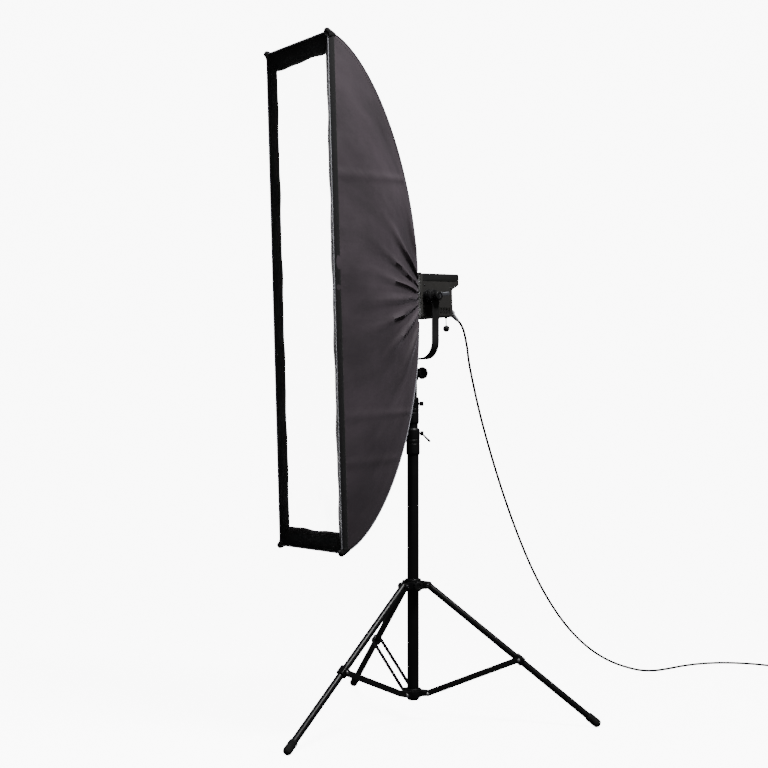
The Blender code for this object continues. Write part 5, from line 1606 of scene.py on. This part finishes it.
    def mains_end(self) -> None:
        """The sloping inlet, the connector in it with its ribbed strain relief, and the umbrella screw."""
        slope = math.radians(self.connector_slope)
        way = np.array([0.0, math.cos(slope), -math.sin(slope)])
        low, high = PLACES.in_lamp("cord_connector")
        root = np.array([(low[0] + high[0]) / 2, self.panel_face + 0.012, -0.034])
        radius = 0.0125
        inlet = lathe([(radius, -0.028), (radius, -0.006), (radius - 0.0008, -0.005),
                       (radius - 0.0008, -0.003),
                       (radius, -0.002), (radius - 0.0006, 0)], 0.0005, 64)
        made = self.put("inlet_shroud", inlet.moved(at(root, way)), GREY_PLASTIC, ["mains_inlet"])
        behind = box_shape((0.1, 0.1, 0.1), (root[0], self.panel_face + 0.0003 - 0.05, root[2]), 0.0005,
                           0.0005)
        carved(made, behind.moved(self.where))
        line = [(0.0105, 0.0003), (0.0115, 0.0015), (0.0115, 0.007), (0.0109, 0.0076), (0.0109, 0.0092),
                (0.0115, 0.0098), (0.0115, 0.021), (0.0085, 0.024)]
        start, end, root_r, tip_r = 0.026, 0.047, 0.0072, 0.0050
        for rib in range(6):
            share = rib / 6
            thick = root_r + (tip_r - root_r) * share
            place = start + (end - start) * share
            line += [(thick, place), (thick, place + 0.0021), (thick - 0.0011, place + 0.0026),
                     (thick - 0.0011, place + 0.0031)]
        line += [(tip_r, end), (tip_r - 0.0004, 0.048)]
        self.put("connector_body", lathe(line, 0.0003, 64, flutes=16, depth=0.03).moved(at(root, way)),
                 GREY_PLASTIC,
                 ["cord_connector"])

        spot = self.where[:3, :3].T @ (PLACES.pivot("umbrella_screw_turn") - self.where[:3, 3])
        ball, shank, centre = 0.010, 0.0017, self.bottom - 0.033
        turn = np.linspace(0.1, math.pi - math.asin(shank / ball), 16)
        sphere = np.column_stack([ball * np.sin(turn), centre - ball * np.cos(turn)])
        stem = [(shank, self.bottom - 0.004), (shank, self.bottom + 0.012)]
        screw = lathe(np.vstack([sphere, stem]), 0.0004, 48)
        nut = lathe([(0.0042, self.bottom - 0.0035), (0.0042, self.bottom - 0.0005)], 0.0004, 6)
        place = at((spot[0], spot[1], 0))
        self.put("umbrella_ball_screw", screw.moved(place), KNOB_PLASTIC, ["umbrella_screw"], "umbrella_lock")
        self.put("umbrella_nut", nut.moved(place), DARK_SCREW)

    def build(self) -> None:
        """Makes the head and dresses what its casing holds."""
        self.casing()
        self.front_end()
        self.rear_end()
        self.mains_end()
        emitter = replace(EMITTER, centre=tuple(self.where[:3, 3]))
        for node, finish in (("led_module", emitter), ("heat_sink", ALLOY), ("fan_frame", PANEL_PLASTIC),
                             ("fan_rotor", PANEL_PLASTIC), ("driver_board", BOARD)):
            refinish(node, finish)


# ------------------------------------------------------------------ softbox
@dataclass
class Softbox:
    """The strip softbox: four cloth panels on four rods from a speed ring, its lip, diffuser and baffle."""

    front: float = -0.390
    depth: float = 0.353
    rear_height: float = 0.0714
    half_width: float = 0.150
    half_height: float = 0.700
    rear_half: float = 0.070
    fabric: float = 0.0015
    lip_side: float = 0.030
    lip_end: float = 0.053
    lip_depth: float = 0.014
    rod_radius: float = 0.0028
    rod_inset: float = 0.0068
    rod_start: float = 0.012
    ring_radius: float = 0.062
    ring_length: float = 0.016
    socket_radius: float = 0.0062
    corners: tuple[tuple[int, int], ...] = ((1, 1), (-1, 1), (-1, -1), (1, -1))

    def __post_init__(self) -> None:
        """Finds the rear frame on the same curve as the rods."""
        self.where = PLACES.lamp()
        self.rear_angle = math.asin((self.rear_height / self.half_height) ** (1 / 1.2))
        self.full_depth = self.depth / math.cos(self.rear_angle) ** 1.25

    def put(self, name: str, shape: Shape, finish: Finish, nodes: Iterable[str] = (),
            normals: Normals = Normals.CLOSED, sharp: float = 38.0) -> bpy.types.Object:
        """Makes a piece given in the lamp's frame, on the softbox's body."""
        return make(name, shape.moved(self.where), finish, "softbox", nodes, normals, sharp)

    def outline(self, share: np.ndarray) -> tuple[np.ndarray, np.ndarray, np.ndarray]:
        """Depth, half height and half width at a share from the front.

        Depth is d cos(a)^1.25, half height h sin(a)^1.2, and half width goes with the height.
        """
        angle = math.pi / 2 + (self.rear_angle - math.pi / 2) * np.asarray(share, float)
        back = self.full_depth * np.maximum(np.cos(angle), 0) ** 1.25
        high = self.half_height * np.sin(angle) ** 1.2
        wide = self.rear_half + (self.half_width - self.rear_half) * (high - self.rear_height) / (
            self.half_height - self.rear_height)
        return self.front + back, high, wide

    def shares(self, count: int) -> np.ndarray:
        """Shares evenly spaced along the curved seam."""
        fine = np.linspace(0, 1, 400)
        y, z, x = self.outline(fine)
        travelled = chain(np.column_stack([x, y, z]))
        return np.interp(np.linspace(0, travelled[-1], count), travelled, fine)

    def folds(self, y: np.ndarray, z: np.ndarray, along: np.ndarray) -> np.ndarray:
        """How far a side panel stands off its plane: creases exp(-(d/w)^2) and broad slack waves.

        Args:
            y: depth in the lamp's frame.
            z: height in the lamp's frame.
            along: share from one seam to the other.

        Returns:
            Offsets in metres, fading to zero at the seams.
        """
        fade = np.clip(np.minimum(along, 1 - along) / 0.06, 0, 1)
        fade = fade * fade * (3 - 2 * fade)
        rise = np.zeros_like(y)
        for level_z, width, height in ((0.324, 0.008, 0.0034), (-0.332, 0.007, 0.0030),
                                       (-0.458, 0.009, 0.0024),
                                       (0.02, 0.010, 0.0012)):
            slope = level_z + 0.03 * (y + 0.2)
            rise += height * np.exp(-((z - slope) / width) ** 2)
        centre_y, reach = self.front + self.depth + 0.05, 0.30
        angle = np.arctan2(z, centre_y - y)
        radius = np.hypot(z, centre_y - y)
        near = np.exp(-((radius - 0.15) / 0.10) ** 2)
        for turn, width, height in ((1.15, 0.09, 0.0060), (0.80, 0.06, 0.0070), (0.50, 0.05, 0.0060),
                                    (0.22, 0.05, 0.0055), (-0.08, 0.06, 0.0065), (-0.36, 0.05, 0.0070),
                                    (-0.66, 0.06, 0.0075), (-0.98, 0.08, 0.0070), (-1.25, 0.08, 0.0050)):
            rise += 1.5 * height * near * np.exp(-((angle - turn) / (0.75 * width)) ** 2)
        wave = (np.sin(z * 9.0 + 1.3) * np.sin((y - self.front) * 14.0 + 0.6)
                + 0.6 * np.sin(z * 21.0 - y * 17.0))
        rise += 0.0024 * wave * np.exp(-(radius / reach) ** 4) + 0.0016 * wave
        ripple = np.sin(z * 62.0 + 4.0 * np.sin(y * 20.0)) * np.exp(-((y - self.front - 0.012) / 0.02) ** 2)
        return (rise + 0.0006 * ripple) * fade

    def sides(self) -> None:
        """Left and right panels: ruled from the lower curved seam to the upper one, with folds."""
        share = self.shares(132)
        y, high, wide = self.outline(share)
        across = np.sin(np.linspace(-math.pi / 2, math.pi / 2, 121)) * 0.35 + np.linspace(-1, 1, 121) * 0.65
        z_grid = high[:, None] * across[None, :]
        y_grid = np.broadcast_to(y[:, None], z_grid.shape)
        along = np.broadcast_to((across[None, :] + 1) / 2, z_grid.shape)
        full = self.rear_half + (self.half_width - self.rear_half) * np.clip(
            (high[:, None] - self.rear_height) / (self.half_height - self.rear_height), 0, 1)
        edge = np.clip(np.minimum(share, 1 - share) / 0.03, 0, 1)[:, None]
        offset = self.folds(y_grid, z_grid, along) * edge
        for side, name in ((1, "right"), (-1, "left")):
            grid = np.stack([side * (full + offset) * np.ones_like(z_grid), y_grid, z_grid], -1)
            shape = self.facing(loft(grid, closed=False, caps=False), (side, 0, 0))
            made = self.put(f"side_cloth_{name}", shape, SIDE_CLOTH, [f"side_panel_{name}"], Normals.AS_MADE,
                            60)
            thickened(made, self.fabric * 0.8, LINING)

    def facing(self, shape: Shape, way: Vec) -> Shape:
        """The shape with its faces turned so that their mean normal points a given way."""
        corners = shape.points[shape.faces[0]]
        normal = np.cross(corners[:, 1] - corners[:, 0], corners[:, 2] - corners[:, 0]).sum(axis=0)
        if normal @ np.asarray(way, float) > 0:
            return shape
        return Shape(shape.points, [f[:, ::-1] for f in shape.faces], [u[:, ::-1] for u in shape.uvs])

    def ends(self) -> None:
        """Top and bottom panels: between the two curved seams from front to rear."""
        share = self.shares(120)
        y, high, wide = self.outline(share)
        across = np.linspace(-1, 1, 31)
        x_grid = wide[:, None] * across[None, :]
        travelled = chain(np.column_stack([y, high]))
        sag = (1 - across[None, :] ** 2) * np.clip(np.minimum(share, 1 - share) / 0.08, 0, 1)[:, None]
        wave = 0.0012 * np.sin(travelled * 37.0)[:, None] * np.cos(across * 2.2)[None, :] + 0.0016
        normal_y = np.gradient(high, travelled)
        normal_z = -np.gradient(y, travelled)
        length = np.hypot(normal_y, normal_z)
        for sign, name in ((1, "top"), (-1, "bottom")):
            lift = -sag * wave
            y_grid = y[:, None] - (normal_y / length)[:, None] * lift * -1
            z_grid = (high[:, None] + (normal_z / length)[:, None] * lift * -1) * sign
            grid = np.stack([x_grid, y_grid * np.ones_like(x_grid), z_grid * np.ones_like(x_grid)], -1)
            shape = self.facing(loft(grid, closed=False, caps=False), (0, 0, sign))
            made = self.put(f"{name}_cloth", shape, SIDE_CLOTH, [f"{name}_panel"], Normals.AS_MADE, 60)
            thickened(made, self.fabric * 0.8, LINING)

    def seam(self, side: int, sign: int, out: float = 0.0, share: np.ndarray | None = None) -> np.ndarray:
        """The curved seam at one corner, pushed out along the corner's bisector."""
        y, high, wide = self.outline(self.shares(110) if share is None else share)
        return np.column_stack([side * (wide + out), y, sign * (high + out)])

    def trim(self) -> None:
        """Piping along the curved seams, tape round the front edge, stitches, and corner pockets."""
        piping, tape, stitches, pockets = None, None, None, None
        for side in (1, -1):
            for sign in (1, -1):
                seam = self.seam(side, sign, 0.0008)
                hint = (side, 0, sign)
                cord = tube(seam, 0.0012, hint, 10)
                piping = cord if piping is None else piping + cord
                share = self.shares(190)
                stitched = self.seam(side, sign, 0.0, share)
                stitched[:, 2] -= sign * 0.012
                stitched[:, 0] += side * 0.0006
                stitch_line = chain(stitched)
                for start in range(2, len(stitched) - 4, 2):
                    stitch = bar(stitched[start], stitched[start] * 0.45 + stitched[start + 1] * 0.55,
                                 0.00035, 0.0005,
                                 (side, 0, 0), 0.0002, 0.8, 6)
                    stitches = stitch if stitches is None else stitches + stitch
                LOG.info("seam %.3f m long", stitch_line[-1])
                pocket = self.pocket(side, sign)
                pockets = pocket if pockets is None else pockets + pocket
        corners = softened([(-self.half_width, -self.half_height), (self.half_width, -self.half_height),
                            (self.half_width, self.half_height), (-self.half_width, self.half_height)],
                           0.006, 5, True)
        front = self.front
        ring = []
        for grow, y in ((0.0010, front + 0.020), (0.0016, front + 0.019), (0.0017, front + 0.001),
                        (0.0006, front - 0.0008),
                        (-0.0012, front - 0.0004)):
            ring.append(np.column_stack([corners[:, 0] * (1 + grow / self.half_width),
                                         np.full(len(corners), y),
                                         corners[:, 1] * (1 + grow / self.half_height)]))
        tape = loft(self.resampled(np.stack(ring)), caps=False)
        made = self.put("front_edge_tape", tape, TAPE, (), Normals.AS_MADE)
        thickened(made, 0.0006, None, 0.0)
        around = np.column_stack([corners[:, 0] * (1 + 0.0012 / self.half_width),
                                  np.full(len(corners), front - 0.0012),
                                  corners[:, 1] * (1 + 0.0012 / self.half_height)])
        closed = self.resampled(around[None])[0]
        edge_piping = self.closed_tube(closed, 0.0011)
        self.put("seam_piping", piping + edge_piping, PIPING)
        self.put("seam_stitches", stitches, THREAD)
        self.put("corner_pockets", pockets, POCKET_CLOTH)

    def resampled(self, rings: np.ndarray, count: int = 420) -> np.ndarray:
        """Closed rings of points at even steps, each index at the same share of its ring."""
        out = []
        for ring in rings:
            loop = np.vstack([ring, ring[:1]])
            travelled = chain(loop)
            wanted = np.linspace(0, travelled[-1], count, endpoint=False)
            out.append(np.column_stack([np.interp(wanted, travelled, loop[:, k]) for k in range(3)]))
        return np.stack(out)

    def closed_tube(self, loop: np.ndarray, radius: float) -> Shape:
        """A round cord on a closed level loop: p + r(n cos a + y sin a)."""
        tangent = unit(np.roll(loop, -1, axis=0) - np.roll(loop, 1, axis=0))
        y = np.array([0.0, 1.0, 0.0])
        normal = np.cross(tangent, y)
        angle = np.linspace(0, math.tau, 8, endpoint=False)
        rings = loop[None] + radius * (normal[None] * np.cos(angle)[:, None, None] + y * np.sin(angle)[:,
                                                                                                       None,
                                                                                                       None])
        return loft(np.concatenate([rings, rings[:1]]), caps=False)

    def pocket(self, side: int, sign: int) -> Shape:
        """The reinforced pocket over a rod's tip: a sleeve tapering along the seam, and a rounded nub."""
        fine = np.linspace(0, 0.085, 14)
        seam = self.seam(side, sign, 0.0006, fine)
        size = np.interp(fine, [0, 0.035, 0.085], [0.0105, 0.0085, 0.0030])
        inward = seam - np.column_stack([side * size * 0.35, np.zeros(14), sign * size * 0.5])
        sleeve = sweep(inward, size, size * 1.3, (0, 0, sign), 0.7, 20)
        tip = np.array([side * (self.half_width - 0.001), self.front - 0.001,
                        sign * (self.half_height + 0.0004)])
        nub = lathe([(0.0085, -0.012), (0.0098, -0.003), (0.0088, 0.005), (0.0045, 0.0088)], 0.0022, 28)
        return sleeve + nub.moved(at(tip, (side * 0.25, -0.75, sign * 0.62)))

    def lip(self) -> None:
        """The dark frame round the diffuser: four strips with mitred corners and a slack inner edge."""
        outer_x, outer_z = self.half_width - 0.0015, self.half_height - 0.0015
        x, z = self.half_width - self.lip_side, self.half_height - self.lip_end
        steps, rows = 260, 9
        sides = [((-outer_x, outer_z), (outer_x, outer_z), (-x, z), (x, z), 60),
                 ((outer_x, outer_z), (outer_x, -outer_z), (x, z), (x, -z), steps),
                 ((outer_x, -outer_z), (-outer_x, -outer_z), (x, -z), (-x, -z), 60),
                 ((-outer_x, -outer_z), (-outer_x, outer_z), (-x, -z), (-x, z), steps)]
        shape = None
        for number, (a, b, c, d, count) in enumerate(sides):
            t = np.linspace(0, 1, count)[:, None]
            outer = np.array(a) * (1 - t) + np.array(b) * t
            inner = np.array(c) * (1 - t) + np.array(d) * t
            fade = np.clip(np.minimum(t, 1 - t) / 0.05, 0, 1)
            travelled = t * np.linalg.norm(np.array(b) - np.array(a))
            wave = 0.0018 * np.sin(travelled * 23 + number) + 0.0011 * np.sin(travelled * 51 + 2 * number)
            toward = unit(np.array(c) - np.array(a) + np.array(d) - np.array(b))
            inner = inner + toward * wave * fade
            s = np.linspace(0, 1, rows)[None, :, None]
            flat = outer[:, None] * (1 - s) + inner[:, None] * s
            dip = self.front + 0.0004 + (self.lip_depth - 0.0012) * s[..., 0] ** 1.2 + 0.0006 * np.sin(
                math.pi * s[..., 0]) * np.sin(travelled * 37 + 3 * number)
            grid = np.stack([flat[..., 0], dip, flat[..., 1]], -1)
            strip = loft(grid, closed=False, caps=False)
            shape = strip if shape is None else shape + strip
        made = self.put("front_lip_cloth", shape, LIP_CLOTH, ["front_lip"], Normals.AS_MADE, 60)
        thickened(made, 0.0011, None, 0.0)
        flat = (2 * self.half_width + 0.02, 2 * self.half_height + 0.02)
        area = 4 * (self.half_width * self.half_height - x * z)
        round(max(area, 0.302 * flat[0] * flat[1]), 4)

    def cloth_front(self, node: str, name: str, finish: Finish, creases: float, rows: int) -> None:
        """The diffuser or baffle: a flat panel with slack that gathers toward its lower end."""
        low, high = PLACES.in_lamp(node)
        x = np.linspace(low[0], high[0], 41)[None, :]
        z = np.linspace(low[2], high[2], rows)[:, None]
        u, v = (x - low[0]) / (high[0] - low[0]), (z - low[2]) / (high[2] - low[2])
        fade = np.clip(np.minimum(np.minimum(u, 1 - u) * 8, np.minimum(v, 1 - v) * 24), 0, 1)
        slack = (np.sin(x * 34 + 3 * np.sin(z * 5)) * np.exp(-v * 7)
                 + 0.5 * np.sin(x * 71 - z * 22) * np.exp(-v * 12))
        billow = 0.0035 * np.sin(math.pi * u) * np.sin(math.pi * v) ** 0.5
        middle = (low[1] + high[1]) / 2
        y = middle + fade * creases * slack + billow
        grid = np.stack(np.broadcast_arrays(x, y, z), -1)
        made = self.put(name, loft(grid, closed=False, caps=False), finish, [node], Normals.AS_MADE, 60)
        thickened(made, 0.0009, None, 0.0)
        flat = (round(float(high[0] - low[0]) + 0.004, 3), round(float(high[2] - low[2]) + 0.004, 3))

    def rod_line(self) -> np.ndarray:
        """The upper right rod's middle line: the seam moved in along its own normal, clear of the cloth."""
        start = math.acos((self.rod_start / self.full_depth) ** (1 / 1.25))
        first = (math.pi / 2 - start) / (math.pi / 2 - self.rear_angle)
        share = np.linspace(first, 1, 90)
        y, high, wide = self.outline(share)
        before, after = self.outline(np.maximum(share - 0.001, 0)), self.outline(np.minimum(share + 0.001, 1))
        run, fall = after[0] - before[0], after[1] - before[1]
        size = np.hypot(run, fall)
        return np.column_stack([wide - self.rod_inset * 1.3, y + fall / size * self.rod_inset,
                                high - run / size * self.rod_inset])

    def rods(self) -> None:
        """The four spring-steel rods in their sockets."""
        for side, right in ((1, "right"), (-1, "left")):
            for sign, upper in ((1, "upper"), (-1, "lower")):
                line = self.rod_line() * (side, 1, sign)
                number = self.corners.index((side, sign)) + 1
                self.put(f"wire_rod_{upper}_{right}", tube(line, self.rod_radius, (side, 0, 0), 12), SPRING,
                         [f"rod_{number}"])

    def ring(self) -> None:
        """The speed ring with its turned rims, four arms and rod sockets."""
        low, high = PLACES.in_lamp("speed_ring")
        rear = high[1]
        front = rear - self.ring_length
        outer, bore = self.ring_radius, 0.0565
        line = [(outer, -rear), (outer, -rear + 0.0045), (outer - 0.0012, -rear + 0.0055),
                (outer - 0.0012, -front - 0.0055),
                (outer, -front - 0.0045), (outer, -front), (bore, -front), (bore, -rear)]
        shape = lathe(line, 0.0006, 110, hollow=True).moved(at((0, 0, 0), (0, -1, 0)))
        rod = self.rod_line()
        for side in (1, -1):
            for sign in (1, -1):
                start = rod[-1] * (side, 1, sign)
                way = unit(rod[-7] * (side, 1, sign) - start)
                socket = lathe([(self.socket_radius, -0.012), (self.socket_radius, -0.004),
                                (self.socket_radius - 0.0008, -0.003), (self.socket_radius - 0.0008, 0.006),
                                (self.socket_radius, 0.007), (self.socket_radius, 0.016)], 0.0006, 32)
                shape = shape + socket.moved(at(start, way))
                inner = np.array([side, 0, sign]) / math.sqrt(2) * (outer - 0.002)
                inner[1] = (front + rear) / 2
                outside = start - way * 0.004
                outside[1] = min(outside[1], rear - 0.004)
                shape = shape + bar(inner, outside, 0.0045, 0.0060, (0, 1, 0), 0.0008, 0.3, 24)
        self.put("speed_ring_casting", shape, ALLOY, ["speed_ring"])

    def build(self) -> None:
        """Makes the whole softbox."""
        self.sides()
        self.ends()
        self.trim()
        self.lip()
        self.cloth_front("front_diffuser", "diffuser_cloth", DIFFUSER, 0.0012, 220)
        self.cloth_front("inner_baffle", "baffle_cloth", BAFFLE, 0.0008, 120)
        self.rods()
        self.ring()


# ------------------------------------------------------------------ studio
@dataclass
class StudioSet:
    """A pale sweep behind the lamp, soft lights and the camera."""

    spot: tuple[float, float, float] = (3.1465, -2.4159, 0.892)
    pitch: float = 91.316
    heading: float = 52.3
    lens: float = 63.3
    floor: float = 9.0
    flat_end: float = 2.4
    bend: float = 1.6
    wall_top: float = 7.0
    reach: float = 8.0
    ambient: float = 0.09

    def sweep_floor(self) -> None:
        """The floor that rises into the backdrop: a flat run, a quarter circle and a wall."""
        away = np.array([-math.sin(math.radians(self.heading)), math.cos(math.radians(self.heading)), 0])
        right = np.array([away[1], -away[0], 0.0])
        turn = np.linspace(0, math.pi / 2, 24)
        run = np.concatenate([np.linspace(-self.floor, self.flat_end, 20)[:-1],
                              self.flat_end + self.bend * np.sin(turn),
                              [self.flat_end + self.bend]])
        rise = np.concatenate([np.zeros(19), self.bend * (1 - np.cos(turn)), [self.wall_top]])
        across = np.linspace(-self.reach, self.reach, 9)
        grid = run[:, None, None] * away + across[None, :, None] * right + rise[:, None, None] * UP
        grid[..., 2] -= 0.0002
        made = make("studio_sweep", loft(grid[:, ::-1], closed=False, caps=False), PAPER, None, (),
                    Normals.AS_MADE, 60)
        made.visible_diffuse = made.visible_glossy = False

    def light(self, name: str, spot: Vec, size: tuple[float, float], power: float, target: Vec = (0, 0, 1.0),
              colour: tuple[float, float, float] = (1, 1, 1)) -> None:
        """A soft area light aimed at a point."""
        data = bpy.data.lights.new(name, "AREA")
        data.shape = "RECTANGLE"
        data.size, data.size_y = size
        data.energy = power
        data.color = colour
        made = bpy.data.objects.new(name, data)
        made.location = spot
        made.rotation_euler = (Vector(target) - Vector(spot)).to_track_quat("-Z", "Y").to_euler()
        bpy.context.scene.collection.objects.link(made)

    def build(self) -> None:
        """Floor, world, lights and camera."""
        self.sweep_floor()
        world = bpy.data.worlds.new("studio")
        world.use_nodes = True
        world.node_tree.nodes["Background"].inputs["Color"].default_value = (1, 1, 1, 1)
        world.node_tree.nodes["Background"].inputs["Strength"].default_value = self.ambient
        bpy.context.scene.world = world
        self.light("key", (1.7, 0.1, 3.9), (0.7, 0.7), 200, (0.0, 0.0, 1.6))
        self.light("fill", (2.0, -3.6, 2.4), (1.4, 1.4), 9, (0.1, 0.1, 1.3))
        data = bpy.data.cameras.new("camera")
        data.lens = self.lens
        camera = bpy.data.objects.new("camera", data)
        camera.location = self.spot
        camera.rotation_euler = (math.radians(self.pitch), 0, math.radians(self.heading))
        bpy.context.scene.collection.objects.link(camera)
        bpy.context.scene.camera = camera


def main() -> None:
    """Builds every sub-assembly, the studio and the camera."""
    Stand().build()
    Yoke().build()
    LampHead().build()
    Softbox().build()
    MainsLead().build()
    StudioSet().build()


if __name__ == "__main__":
    main()
